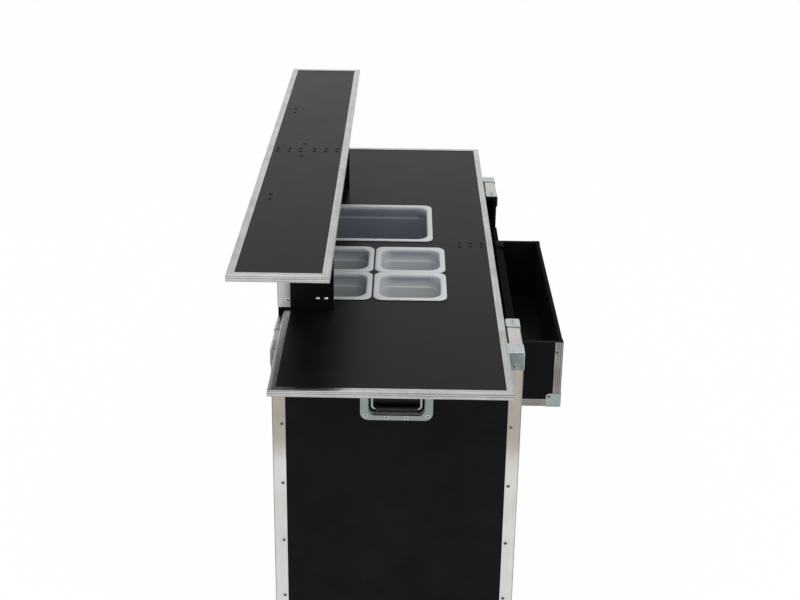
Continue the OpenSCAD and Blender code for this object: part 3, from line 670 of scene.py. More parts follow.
# Painted light: a lighter, less metallic copy of the plate's zinc, so that the recess wall shows bright
# inside the recess's shade.
LIT_RECESS = ZincPlatedSteel(
    "zinc-plated recess wall", metallic=0.35, roughness=0.5, cool="#c9cfd0", plain="#cfd3d2",
    straw="#d2d3ce", stain_and_shade="#ffffff")
RACK_CORNER = ZincPlatedSteel("zinc-plated rack corner", stain_and_shade="#d3d7d3")
PLATE_RIVET = ZincPlatedSteel(
    "zinc-plated plate rivets", roughness=0.15, cool="#b8c2c4", plain="#bfc5c4", straw="#c2c4be",
    stain_and_shade="#efefef")
BAIL_ROD = ZincPlatedSteel(
    "zinc-plated bail rod", roughness=0.2, cool="#96a5a9", plain="#9ca5a5", straw="#a0a39d", stain_and_shade="#ffffff")
BRIGHT_ROD = ZincPlatedSteel(
    "bright zinc-plated rod", roughness=0.18, cool="#c3ced2", plain="#ccd2d2", straw="#d0d2cc",
    stain_and_shade="#ffffff")
PIN_STEEL = ZincPlatedSteel(
    "plain drawn steel", roughness=0.32, cool="#a9abad", plain="#b3b4b4", straw="#bcbab5", stain_and_shade="#f0f0f0")
RUBBER = MouldedRubber()
GRIP = MouldedRubber("moulded black grip", roughness=0.5, specular=0.4, dark="#080808", light="#121212")
MAGNET = MouldedRubber("moulded black magnet housing", roughness=0.45, specular=0.4)
# A black sheet that stands for the deep shade inside the handle's recess: painted shade. The pivot ears take
# it too.
SHADE_TRAY = MouldedRubber("black handle tray, painted shade", roughness=0.4, dark="#050606", light="#0a0b0b")
BLACKENED = BlackenedSteel()
BLACK_RIVET = BlackenedSteel(
    "blackened rivet heads", roughness=0.6, specular=0.08, dark="#060606", light="#0c0c0c")
MANDREL = BlackenedSteel("snapped rivet mandrels", specular=0.2, dark="#141414", light="#232322")
# Darker tones for the big pan, which is deeper and lies partly under the counter shelf: painted shade.
BIG_PAN_SHADED_TONES = {
    "band": "#777c86", "wall": "#6f747d", "side": "#9498a1", "shade": "#757982", "ledge": "#9a9db0",
    "ground": "#5f6370",
}


def dress(finish: Finish, *nodes: str) -> None:
    """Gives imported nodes, whose shape is kept, their finish.

    Args:
        finish: the finish.
        *nodes: the nodes' names.
    """
    for node in nodes:
        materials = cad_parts[node].data.materials
        materials.clear()
        materials.append(finish.material())
        LOG.info("dressed %s in %s", node, finish.name)


# --- Surfaces ---


@dataclass
class Surface:
    """Points and faces of one surface, in millimetres, with a chart for lines that follow its length.

    Attributes:
        points: one row of three for each point.
        faces: point numbers of each face.
        chart: distance across and along the surface at each point.
        hollow: how far each point lies down a groove, from 0 to 1.
    """

    points: np.ndarray
    faces: list[tuple[int, ...]]
    chart: np.ndarray = field(default_factory=lambda: np.zeros((0, 2)))
    hollow: np.ndarray = field(default_factory=lambda: np.zeros(0))

    def __post_init__(self) -> None:
        """Fills in an empty chart and empty hollows."""
        if len(self.chart) != len(self.points):
            self.chart = np.zeros((len(self.points), 2))
        if len(self.hollow) != len(self.points):
            self.hollow = np.zeros(len(self.points))

    def placed(
        self, origin: Sequence[float], along: np.ndarray = X_AXIS, across: np.ndarray = Y_AXIS,
        up: np.ndarray = Z_AXIS,
    ) -> Surface:
        """Stands the surface on a new origin and axes: new point = origin + x along + y across + z up.

        Args:
            origin: the new place of the surface's origin.
            along: direction that takes the surface's X.
            across: direction that takes the surface's Y.
            up: direction that takes the surface's Z.

        Returns:
            The placed surface, with its faces turned back outwards where the axes mirror it.
        """
        axes = np.stack([along, across, up])
        points = self.points @ axes + np.asarray(origin, float)
        mirrored = np.linalg.det(axes) < 0
        faces = [face[::-1] for face in self.faces] if mirrored else self.faces
        return Surface(points, list(faces), self.chart, self.hollow)


def grid_faces(rows: int, columns: int, first: int = 0, turned: bool = False) -> list[tuple[int, ...]]:
    """Lists the quads of an open grid of points.

    Args:
        rows: rows of points.
        columns: points in each row.
        first: number of the grid's first point.
        turned: whether the quads face the other way.

    Returns:
        Four point numbers for each quad.
    """
    corner = first + np.arange(rows - 1)[:, None] * columns + np.arange(columns - 1)[None, :]
    quads = np.stack([corner, corner + 1, corner + columns + 1, corner + columns], -1).reshape(-1, 4)
    return [tuple(q) for q in (quads[:, ::-1] if turned else quads).tolist()]


def loft(rings: np.ndarray, closed: tuple[bool, bool] = (True, True)) -> Surface:
    """Joins rings of points into a skin: quads between neighbouring rings, and one flat face at each end.

    Args:
        rings: array of rings, points and coordinates; each ring runs anticlockwise about the way forward.
        closed: whether the first and the last ring get a face.

    Returns:
        The skin. The ring's first point is doubled, so that the chart runs on to its end.
    """
    rings = np.concatenate([rings, rings[:, :1]], 1)
    count, size = rings.shape[:2]
    steps = np.linalg.norm(np.diff(rings, axis=1), axis=2)
    across = np.concatenate([np.zeros((count, 1)), np.cumsum(steps, 1)], 1)
    middle = rings[:, :-1].mean(1)
    travel = np.concatenate([[0.0], np.cumsum(np.linalg.norm(np.diff(middle, axis=0), axis=1))])
    chart = np.stack([across, np.broadcast_to(travel[:, None], across.shape)], -1).reshape(-1, 2)
    faces = grid_faces(count, size)
    if closed[0]:
        faces.append(tuple(range(size - 2, -1, -1)))
    if closed[1]:
        last = (count - 1) * size
        faces.append(tuple(range(last, last + size - 1)))
    return Surface(rings.reshape(-1, 3), faces, chart)


def rounded(corners: Corners, closed: bool, steps: int = 4) -> np.ndarray:
    """Rounds the corners of a path in a plane.

    Each corner becomes a circular arc, written as the rational curve
    (A (1-t)^2 + 2 w C t (1-t) + B t^2) / ((1-t)^2 + 2 w t (1-t) + t^2), where C is the corner, A and B are
    the points at which the arc meets the sides, and w is the sine of half the angle between the sides.

    Args:
        corners: two coordinates and a radius for each corner.
        closed: whether the path closes on itself; the ends of an open path stay sharp.
        steps: chords in each arc.

    Returns:
        The rounded path's points.
    """
    data = np.array(corners, float)
    points, radii = data[:, :2], data[:, 2]
    before, after = np.roll(points, 1, 0) - points, np.roll(points, -1, 0) - points
    before_len = np.linalg.norm(before, axis=1, keepdims=True)
    after_len = np.linalg.norm(after, axis=1, keepdims=True)
    before, after = before / before_len, after / after_len
    half = 0.5 * np.arccos(np.clip((before * after).sum(1), -1, 1))
    reach = radii / np.tan(np.maximum(half, 1e-6))
    start, end = points + before * reach[:, None], points + after * reach[:, None]
    t = np.linspace(0, 1, steps + 1)[None, :, None]
    weight = (2 * np.sin(half))[:, None, None] * t * (1 - t)
    top = start[:, None] * (1 - t) ** 2 + points[:, None] * weight + end[:, None] * t**2
    arcs = top / ((1 - t) ** 2 + weight + t**2)
    parts = [arc if radius > 0 else point[None] for arc, radius, point in zip(arcs, radii, points)]
    if not closed:
        parts[0], parts[-1] = points[:1], points[-1:]
    return np.concatenate(parts)


def outlines(widths: np.ndarray, depths: np.ndarray, radii: np.ndarray, heights: np.ndarray,
             steps: int = 7) -> np.ndarray:
    """Stacks rounded rectangles.

    Each corner is an arc of its radius about a centre set in by that radius from both sides.

    Args:
        widths: width of each ring along X.
        depths: depth of each ring along Y.
        radii: corner radius of each ring.
        heights: Z of each ring.
        steps: chords in each corner.

    Returns:
        Array of rings, points and coordinates.
    """
    angle = np.radians(np.arange(4)[:, None] * 90 + np.linspace(0, 90, steps + 1)).reshape(-1)
    quarter = np.radians(np.repeat(np.arange(4) * 90 + 45.0, steps + 1))
    sign_x, sign_y = np.sign(np.cos(quarter)), np.sign(np.sin(quarter))
    r = np.maximum(radii, 0.05)[:, None]
    x = sign_x * (widths[:, None] / 2 - r) + r * np.cos(angle)
    y = sign_y * (depths[:, None] / 2 - r) + r * np.sin(angle)
    return np.stack([x, y, np.broadcast_to(heights[:, None], x.shape)], -1)


def vessel(width: float, depth: float, corner: float, profile: np.ndarray, steps: int = 7) -> Surface:
    """Carries a profile round a rounded rectangle, keeping every ring parallel to the outline.

    Args:
        width: outer width.
        depth: outer depth.
        corner: outer corner radius.
        profile: inset from the outline, and height, of each ring.
        steps: chords in each corner.

    Returns:
        The closed skin.
    """
    inset, height = profile[:, 0], profile[:, 1]
    return loft(outlines(width - 2 * inset, depth - 2 * inset, corner - inset, height, steps))


def slab(width: float, depth: float, corner: float, thickness: float, edge: float) -> Surface:
    """A flat plate with rounded corners and softened edges, its underside at Z = 0.

    Args:
        width: width along X.
        depth: depth along Y.
        corner: corner radius.
        thickness: height.
        edge: radius of the long edges.

    Returns:
        The closed plate.
    """
    profile = rounded([(corner, 0, 0), (0, 0, edge), (0, thickness, edge), (corner, thickness, 0)], False, 3)
    return vessel(width, depth, corner + 0.01, np.minimum(profile, [corner, thickness]), 4)


def lathe(profile: np.ndarray, sides: int, waves: tuple[int, float] = (0, 0.0)) -> Surface:
    """Turns a profile about Z.

    The radius at each angle is the profile's radius times (1 - depth (1 + cos(count angle)) / 2).

    Args:
        profile: radius and height of each ring, from the foot outwards and up.
        sides: points in each ring.
        waves: count and depth of flutes round the turned shape.

    Returns:
        The closed skin.
    """
    angle = np.linspace(0, 2 * np.pi, sides, endpoint=False)
    flute = 1 - waves[1] * (1 + np.cos(waves[0] * angle)) / 2
    radius = profile[:, :1] * flute
    height = np.broadcast_to(profile[:, 1:], radius.shape)
    return loft(np.stack([radius * np.cos(angle), radius * np.sin(angle), height], -1))


def extrusion(section: np.ndarray, length: float, mitres: tuple[float, float] = (0.0, 0.0)) -> Surface:
    """Carries a section along +X; a mitre of one cuts an end at 45 degrees, deeper points being shorter.

    A point counts as hollow by its depth under the outer faces, min(|y|, |z|), as a share of GROOVE_DEPTH.

    Args:
        section: closed loop of inward (Y) and height (Z) coordinates.
        length: length at the section's outer face.
        mitres: mitre at the start and at the end.

    Returns:
        The closed bar.
    """
    ahead = np.roll(section, -1, 0)
    area = (section[:, 0] * ahead[:, 1] - ahead[:, 0] * section[:, 1]).sum()
    loop = section if area > 0 else section[::-1]
    start = mitres[0] * loop[:, 0]
    end = length - mitres[1] * loop[:, 0]
    rings = np.stack([np.column_stack([x, loop]) for x in (start, end)])
    bar = loft(rings)
    depth = np.abs(bar.points[:, 1:]).min(1) / GROOVE_DEPTH
    return Surface(bar.points, bar.faces, bar.chart, np.clip(depth, 0, 1))


def sweep(path: np.ndarray, side: np.ndarray, section: np.ndarray) -> Surface:
    """Carries a section along a path that lies in a plane.

    At each point the ring is path + a (side x forward) + b side, where (a, b) is the section.

    Args:
        path: points in space.
        side: unit normal of the plane that the path lies in.
        section: closed loop, anticlockwise, of (a, b).

    Returns:
        The closed bar.
    """
    forward = np.gradient(path, axis=0)
    forward /= np.linalg.norm(forward, axis=1, keepdims=True)
    inward = np.cross(side, forward)
    rings = path[:, None] + section[None, :, :1] * inward[:, None] + section[None, :, 1:] * side
    built = loft(rings)
    return Surface(built.points, [face[::-1] for face in built.faces], built.chart)


def circle(radius: float, sides: int) -> np.ndarray:
    """Returns a circle's points, anticlockwise."""
    angle = np.linspace(0, 2 * np.pi, sides, endpoint=False)
    return radius * np.stack([np.cos(angle), np.sin(angle)], -1)


def flat_bar(thickness: float, width: float, edge: float) -> np.ndarray:
    """Returns the section of a flat bar with softened edges, centred, thickness first."""
    a, b = thickness / 2, width / 2
    return rounded([(a, -b, edge), (a, b, edge), (-a, b, edge), (-a, -b, edge)], True, 2)


def bent_bar(
    corners: Corners, axis: int, place: float, section: np.ndarray,
    steps: int = 6,
) -> Surface:
    """Bends a bar in a plane that lies across one axis.

    Args:
        corners: the two other coordinates and the bend's radius, for each corner of its middle line.
        axis: number of the axis that the plane lies across.
        place: the plane's place on that axis.
        section: the bar's closed section.
        steps: chords in each bend.

    Returns:
        The closed bar.
    """
    path = np.insert(rounded(corners, False, steps), axis, place, axis=1)
    return sweep(path, np.eye(3)[axis], section)


def sheet(outer: np.ndarray, inner: np.ndarray) -> Surface:
    """Joins two grids of points into a sheet with a thickness, closed all round its rim.

    Args:
        outer: grid of points on the outer face.
        inner: grid of points behind them.

    Returns:
        The closed sheet.
    """
    rows, columns = outer.shape[:2]
    count = rows * columns
    numbers = np.arange(count).reshape(rows, columns)
    rim = np.concatenate([numbers[0, :-1], numbers[:-1, -1], numbers[-1, :0:-1], numbers[:0:-1, 0]])
    following = np.roll(rim, -1)
    edge = np.stack([rim, rim + count, following + count, following], -1)
    faces = grid_faces(rows, columns) + grid_faces(rows, columns, count, True)
    faces += [tuple(q) for q in edge.tolist()]
    chart = np.stack(np.meshgrid(np.arange(columns), np.arange(rows)), -1).reshape(-1, 2) * 1.0
    points = np.concatenate([outer.reshape(-1, 3), inner.reshape(-1, 3)])
    return Surface(points, faces, np.tile(chart, (2, 1)))


def round_corner(u: np.ndarray, v: np.ndarray, reach_u: float, reach_v: float, radius: float
                 ) -> tuple[np.ndarray, np.ndarray]:
    """Pulls the corners of a rectangular grid in to quarter circles.

    Past reach - radius both ways, the two distances (p, q) beyond that line, as shares of the radius,
    become p sqrt(1 - q^2 / 2) and q sqrt(1 - p^2 / 2), which maps a square to a disc.

    Args:
        u: first coordinate of each point.
        v: second coordinate of each point.
        reach_u: half of the grid's first size.
        reach_v: half of the grid's second size.
        radius: corner radius.

    Returns:
        The new coordinates.
    """
    p = np.clip((np.abs(u) - (reach_u - radius)) / radius, 0, 1)
    q = np.clip((np.abs(v) - (reach_v - radius)) / radius, 0, 1)
    moved_u = np.sign(u) * (np.abs(u) - p * radius * (1 - np.sqrt(1 - q**2 / 2)))
    moved_v = np.sign(v) * (np.abs(v) - q * radius * (1 - np.sqrt(1 - p**2 / 2)))
    return moved_u, moved_v


def eased(count: int) -> np.ndarray:
    """Returns values from 0 to 1 that crowd towards both ends."""
    return 0.5 - 0.5 * np.cos(np.linspace(0, np.pi, count))


def bent_plate(length: float, leg: float, thickness: float, bend: float, corner: float) -> Surface:
    """A pressed angle plate: a rounded rectangle folded in the middle over an outer radius.

    With t the distance across the flat plate from its middle, the fold is an arc of the bend radius for
    |t| < pi bend / 4, and each leg runs on straight from there.

    Args:
        length: length along X.
        leg: outer leg, along Y and along Z.
        thickness: plate thickness.
        bend: outer radius of the fold.
        corner: radius of the plate's free corners.

    Returns:
        The closed plate, its outer corner at the origin.
    """
    arc = np.pi * bend / 4
    half_width = arc + leg - bend
    fold = np.linspace(-arc, arc, 9)
    flat = arc + (half_width - arc) * eased(9)[1:]
    t = np.concatenate([-flat[::-1], fold, flat])
    s = (eased(17) - 0.5) * length
    s, t = round_corner(*np.meshgrid(s, t, indexing="ij"), length / 2, half_width, corner)
    turn = np.radians(225) + np.clip(t, -arc, arc) / bend
    normal = np.stack([np.zeros_like(turn), np.cos(turn), np.sin(turn)], -1)
    beyond_y, beyond_z = np.maximum(t - arc, 0), np.maximum(-t - arc, 0)
    centre = np.stack([s + length / 2, bend + beyond_y, bend + beyond_z], -1)
    return sheet(centre + bend * normal, centre + (bend - thickness) * normal)


def corner_shell(leg: float, thickness: float, bend: float, corner: float, count: int = 12) -> Surface:
    """A pressed corner cap over three faces of a box whose corner is at the origin.

    A point (a, b, 0) of a face lies on the shell at q + bend n, where q is that point with no coordinate
    under the bend radius, and n is the unit vector from q to the point. The back of the shell is the same
    with the bend less the thickness.

    Args:
        leg: outer leg along each axis.
        thickness: plate thickness.
        bend: outer radius of the folds.
        corner: radius of the free corners.
        count: points along a leg.

    Returns:
        The closed cap.
    """
    fine = np.linspace(0, bend, 5)[:-1]
    s = np.concatenate([fine, bend + (leg - bend) * eased(count)])
    a, b = np.meshgrid(s, s, indexing="ij")
    a, b = round_corner(a, b, leg, leg, corner)
    points, faces, total = [], [], 0
    size = len(s)
    numbers = np.arange(size * size).reshape(size, size)
    rim = np.concatenate([numbers[-1, :-1], numbers[::-1, -1]])
    for shift in range(3):
        flat = np.roll(np.stack([a, b, np.zeros_like(a)], -1), shift, -1)
        middle = np.maximum(flat, bend)
        normal = flat - middle
        normal /= np.linalg.norm(normal, axis=-1, keepdims=True)
        both = [middle + bend * normal, middle + (bend - thickness) * normal]
        points += [p.reshape(-1, 3) for p in both]
        faces += grid_faces(size, size, total) + grid_faces(size, size, total + size * size, True)
        edge = np.stack([rim[:-1], rim[:-1] + size * size, rim[1:] + size * size, rim[1:]], -1) + total
        faces += [tuple(q) for q in edge.tolist()]
        total += 2 * size * size
    return Surface(np.concatenate(points), faces)


@dataclass(frozen=True)
class Head:
    """Where one fastener's head stands.

    Attributes:
        foot: middle of the face that it stands on, in millimetres.
        axis: unit vector out of that face.
        radius: radius of the head.
        height: height of the head.
    """

    foot: np.ndarray
    axis: np.ndarray
    radius: float
    height: float

    def place(self, surface: Surface) -> Surface:
        """Stands a surface made along +Z on this head's foot."""
        helper = X_AXIS if abs(self.axis[0]) < 0.5 else Y_AXIS
        along = np.cross(helper, self.axis)
        return surface.placed(self.foot, along, np.cross(self.axis, along), self.axis)


def clusters(points: np.ndarray) -> Iterator[np.ndarray]:
    """Parts points into heads: those within HEAD_REACH of the first one left make up one head.

    Args:
        points: points of heads that stand farther apart than that.

    Yields:
        The points of each head.
    """
    while len(points):
        own = np.linalg.norm(points - points[0], axis=1) < HEAD_REACH
        yield points[own]
        points = points[~own]


def heads_of(node: str) -> list[Head]:
    """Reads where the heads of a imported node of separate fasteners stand.

    A head's axis is the shortest side of its box, and its foot is the end at which the points lie farthest
    from the middle.

    Args:
        node: the node's name.

    Returns:
        The heads.
    """
    heads: list[Head] = []
    for group in clusters(node_points(node)):
        low, high = group.min(0), group.max(0)
        axis = int(np.argmin(high - low))
        middle = (low + high) / 2
        radial = np.linalg.norm(np.delete(group - middle, axis, 1), axis=1)
        at_low = group[:, axis] < middle[axis]
        sign = 1.0 if radial[at_low].max() > radial[~at_low].max() else -1.0
        foot = middle.copy()
        foot[axis] = low[axis] if sign > 0 else high[axis]
        size = np.delete(high - low, axis)
        heads.append(Head(foot, sign * np.eye(3)[axis], float(size.max() / 2), float((high - low)[axis])))
    return heads


def heads_above(node: str, height: float) -> list[Head]:
    """Reads the heads that stand on a board's top, in a node that also holds other fittings.

    Args:
        node: the node's name.
        height: height of the board's top, in millimetres.

    Returns:
        The heads.
    """
    points = node_points(node)
    heads: list[Head] = []
    for group in clusters(points[points[:, 2] > height]):
        low, high = group.min(0), group.max(0)
        foot = (low + high) / 2
        foot[2] = low[2]
        heads.append(Head(foot, Z_AXIS, float((high - low)[0] / 2), float((high - low)[2])))
    return heads


def node_points(node: str) -> np.ndarray:
    """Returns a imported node's points in millimetres."""
    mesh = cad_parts[node].data
    flat = np.empty(len(mesh.vertices) * 3)
    mesh.vertices.foreach_get("co", flat)
    return flat.reshape(-1, 3) / MM


def node_box(node: str) -> tuple[np.ndarray, np.ndarray]:
    """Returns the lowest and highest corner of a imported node, in millimetres."""
    low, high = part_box(node)
    return np.array(low) / MM, np.array(high) / MM


def domed(share: np.ndarray, brim: float, height: float) -> np.ndarray:
    """Returns a dome's shares of its radius and its heights, brim + (height - brim) sqrt(1 - share^2)."""
    rise = (height - brim) * np.sqrt(1 - share**2)
    return np.concatenate([[[1.0, 0.0]], np.column_stack([share, brim + rise])])


def rivet_head(radius: float, height: float, sides: int = 12) -> Surface:
    """A domed rivet head with a thin brim.

    Args:
        radius: radius of the head.
        height: height of the head.
        sides: points in each ring.

    Returns:
        The closed head, standing on Z = 0.
    """
    share = np.array([1.0, 0.93, 0.75, 0.45, 0.12])
    return lathe(domed(share, HEAD_BRIM * height, height) * [radius, 1.0], sides)


def blind_rivets(heads: Sequence[Head], sides: int = 14) -> tuple[list[Surface], list[Surface]]:
    """Blind rivet heads, taller than packed, each domed up to the hole that its mandrel is sunk in.

    Args:
        heads: where the heads stand.
        sides: points in each ring.

    Returns:
        The domed rings and the mandrels.
    """
    share = np.array([1.0, 0.94, 0.8, 0.62, 0.52])
    hole = np.array([[0.46, 0.75], [0.46, 0.3], [0.1, 0.3]])
    core = np.array([[0.44, 0.2], [0.44, 0.5], [0.3, 0.62], [0.1, 0.64]])
    ring = np.concatenate([domed(share, HEAD_BRIM, 1.0), hole])
    rings: list[Surface] = []
    mandrels: list[Surface] = []
    for head in heads:
        size = [head.radius, BLIND_RISE * head.height]
        rings.append(head.place(lathe(ring * size, sides)))
        mandrels.append(head.place(lathe(core * size, 8)))
    return rings, mandrels


def make_piece(
    name: str, surfaces: Sequence[Surface], finish: Finish, body: str,
    stands_for: Sequence[str] = (),
) -> None:
    """Makes one object of some surfaces and hands it to the body that it rides on.

    Args:
        name: the piece's name.
        surfaces: its surfaces, in millimetres.
        finish: its finish.
        body: the body that it moves with.
        stands_for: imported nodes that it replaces.
    """
    points, charts, hollows, faces, total = [], [], [], [], 0
    for surface in surfaces:
        points.append(surface.points * MM)
        charts.append(surface.chart * MM)
        hollows.append(surface.hollow)
        faces += [tuple(i + total for i in face) for face in surface.faces]
        total += len(surface.points)
    mesh = bpy.data.meshes.new(name)
    mesh.from_pydata(np.concatenate(points).tolist(), [], faces)
    chart = np.concatenate(charts)
    corners = np.empty(len(mesh.loops), np.int32)
    mesh.loops.foreach_get("vertex_index", corners)
    mesh.uv_layers.new(name="UVMap").data.foreach_set("uv", chart[corners].astype(np.float32).ravel())
    hollow = mesh.attributes.new(HOLLOW, "FLOAT", "POINT")
    hollow.data.foreach_set("value", np.concatenate(hollows).astype(np.float32))
    weld(mesh)
    mesh.shade_smooth()
    mesh.set_sharp_from_angle(angle=math.radians(CREASE_DEG))
    mesh.materials.append(finish.material())
    piece = bpy.data.objects.new(name, mesh)
    bpy.context.scene.collection.objects.link(piece)
    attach(piece, body)
    if stands_for:
        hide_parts(*stands_for)
    LOG.info("made %s: %d faces on %s", name, len(mesh.polygons), body)


def weld(mesh: bpy.types.Mesh) -> None:
    """Merges doubled points and turns every closed skin's faces outwards.

    Args:
        mesh: the mesh to clean.
    """
    work = bmesh.new()
    work.from_mesh(mesh)
    bmesh.ops.remove_doubles(work, verts=work.verts, dist=1e-6)
    bmesh.ops.dissolve_degenerate(work, dist=1e-7, edges=work.edges)
    bmesh.ops.recalc_face_normals(work, faces=work.faces)
    work.to_mesh(mesh)
    work.free()


# --- Sub-assemblies ---


@dataclass
class HalfCases:
    """The two open half cases: panels, edge angles, corner caps, rim braces, rivets, feet and rest strips."""

    leg: float = 30.0
    wall: float = 1.5
    edge_radius: float = 3.0
    cap_leg: float = 42.0
    cap_lap: float = 9.0
    plate: float = 1.5
    brace_l: float = 42.0
    brace_back: float = 30.0
    free_corner: float = 6.0
    plate_head: float = 1.15
    foot_radius: float = 19.0

    def angle_section(self, leg: float, grooves: bool = False) -> np.ndarray:
        """The section of an edge angle: outer corner rounded, free edges softened.

        Args:
            leg: both legs' width.
            grooves: whether each leg carries two shallow lines along it.

        Returns:
            The closed section, its outer corner at the origin.
        """
        t, soft = self.wall, 0.35
        low: list[tuple[float, float, float]] = []
        if grooves:
            half, deep = 0.7, 0.6
            for share in (0.3, 0.52, 0.74):
                middle = leg * share
                low += [(middle - half, 0, 0.1), (middle, deep, 0.1), (middle + half, 0, 0.1)]
        side = [(v, u, r) for u, v, r in low[::-1]]
        loop = [(0, 0, self.edge_radius), *low, (leg, 0, soft), (leg, t, soft), (t, t, 0.6),
                (t, leg, soft), (0, leg, soft), *side]
        return rounded(loop, True, 5)

    def build_angles(self) -> None:
        """Runs the edge angles along every edge of both cases that carries one."""
        low, high = node_box("case_edge_angles")
        rim = node_box("far_side_panels")[0][1]
        middle_x = (low[0] + high[0]) / 2
        cut = self.cap_leg - self.cap_lap
        section = self.angle_section(self.leg)
        runs: list[Surface] = []
        for end in End:
            into = -end.value * Y_AXIS
            face_y = end.value * high[1]
            for x, way in ((low[0], X_AXIS), (high[0], -X_AXIS)):
                upright = extrusion(section, high[2] - low[2] - 2 * cut)
                runs.append(upright.placed((x, face_y, low[2] + cut), Z_AXIS, way, into))
                side = extrusion(section, high[1] - rim - cut)
                runs.append(side.placed((x, end.value * rim, high[2]), -into, way, -Z_AXIS))
                runs.append(side.placed((x, end.value * rim, low[2]), -into, way, Z_AXIS))
            across = extrusion(section, high[0] - low[0] - 2 * cut)
            start = middle_x - (high[0] - low[0]) / 2 + cut
            runs.append(across.placed((start, face_y, high[2]), X_AXIS, into, -Z_AXIS))
            runs.append(across.placed((start, face_y, low[2]), X_AXIS, into, Z_AXIS))
        make_piece("case_angle_extrusions", runs, CASE_ANGLE, "cases", ["case_edge_angles"])

    def build_caps(self) -> None:
        """Presses a cap over every closed corner of both cases."""
        low, high = node_box("case_corner_caps")
        over = self.edge_radius + self.plate
        shell = corner_shell(self.cap_leg + self.plate, self.plate, over, self.free_corner)
        caps = [
            shell.placed((x, y, z), way_x * X_AXIS, way_y * Y_AXIS, way_z * Z_AXIS)
            for x, way_x in ((low[0], 1), (high[0], -1))
            for y, way_y in ((low[1], 1), (high[1], -1))
            for z, way_z in ((low[2], 1), (high[2], -1))
        ]
        make_piece("case_pressed_corners", caps, ZINC, "cases", ["case_corner_caps"])

    def build_braces(self) -> None:
        """Folds a brace round each rim end of the long edges."""
        low, high = node_box("case_rim_braces")
        rim = node_box("far_side_panels")[0][1]
        over = self.edge_radius + self.plate
        plate = bent_plate(self.brace_l, self.leg + 2 * self.plate, self.plate, over, self.free_corner)
        braces: list[Surface] = []
        for end in End:
            out = end.value * Y_AXIS
            for x, way, back in ((low[0], X_AXIS, self.brace_back), (high[0], -X_AXIS, 0.0)):
                for z, up in ((low[2], Z_AXIS), (high[2], -Z_AXIS)):
                    braces.append(plate.placed((x, end.value * (rim + back), z), out, way, up))
        make_piece("case_folded_braces", braces, ZINC, "cases", ["case_rim_braces"])

    def build_rivets(self) -> None:
        """Sets every blind rivet of both cases."""
        low, high = node_box("near_handle_dish")
        heads = heads_of("case_rivets")
        on_plate = [abs(h.axis[1]) > 0.5 and low[0] < h.foot[0] < high[0] and low[2] < h.foot[2] < high[2]
                    for h in heads]
        wide = [replace(h, radius=h.radius * self.plate_head) for h, there in zip(heads, on_plate) if there]
        rings, mandrels = blind_rivets([h for h, there in zip(heads, on_plate) if not there])
        plate_rings, plate_mandrels = blind_rivets(wide)
        make_piece("case_blind_rivets", rings, ZINC, "cases", ["case_rivets"])
        make_piece("handle_blind_rivets", plate_rings, PLATE_RIVET, "cases")
        make_piece("case_rivet_mandrels", mandrels + plate_mandrels, MANDREL, "cases")

    def build_feet(self) -> None:
        """Turns the rubber feet: a rounded sole, a slight taper and a collar, with a dished screw recess."""
        low, high = node_box("feet")
        tall = high[2]
        profile = rounded(
            [(0.5, 3.0, 0), (5.0, 3.0, 0.5), (6.0, 0.0, 0.6), (16.0, 0.0, 2.0), (18.6, 21.0, 1.2),
             (17.4, 22.6, 0.4), (self.foot_radius, 23.6, 0.6), (self.foot_radius, tall, 0.4), (1.0, tall, 0)],
            False, 3,
        )
        foot = lathe(profile, 28)
        points = node_points("feet")
        sole = points[points[:, 2] < 1.0]
        feet = []
        for x_sign in (-1, 1):
            for end in End:
                mine = sole[(np.sign(sole[:, 0] - (low[0] + high[0]) / 2) == x_sign)
                            & (np.sign(sole[:, 1]) == end.value)]
                split = (mine[:, 1].min() + mine[:, 1].max()) / 2
                for half in (mine[mine[:, 1] < split], mine[mine[:, 1] >= split]):
                    middle = (half.min(0) + half.max(0)) / 2
                    feet.append(foot.placed((middle[0], middle[1], 0)))
        make_piece("turned_rubber_feet", feet, RUBBER, "cases", ["feet"])

    def build(self) -> None:
        """Builds and dresses both cases."""
        self.build_angles()
        self.build_caps()
        self.build_braces()
        self.build_rivets()
        self.build_feet()
        for end in End:
            dress(PLY_Y, f"{end.label}_end_panel")
            dress(PLY_X, f"{end.label}_side_panels")
            dress(PLY_Z, f"{end.label}_top_panel", f"{end.label}_bottom_panel")
        dress(RUBBER, "rest_pads")


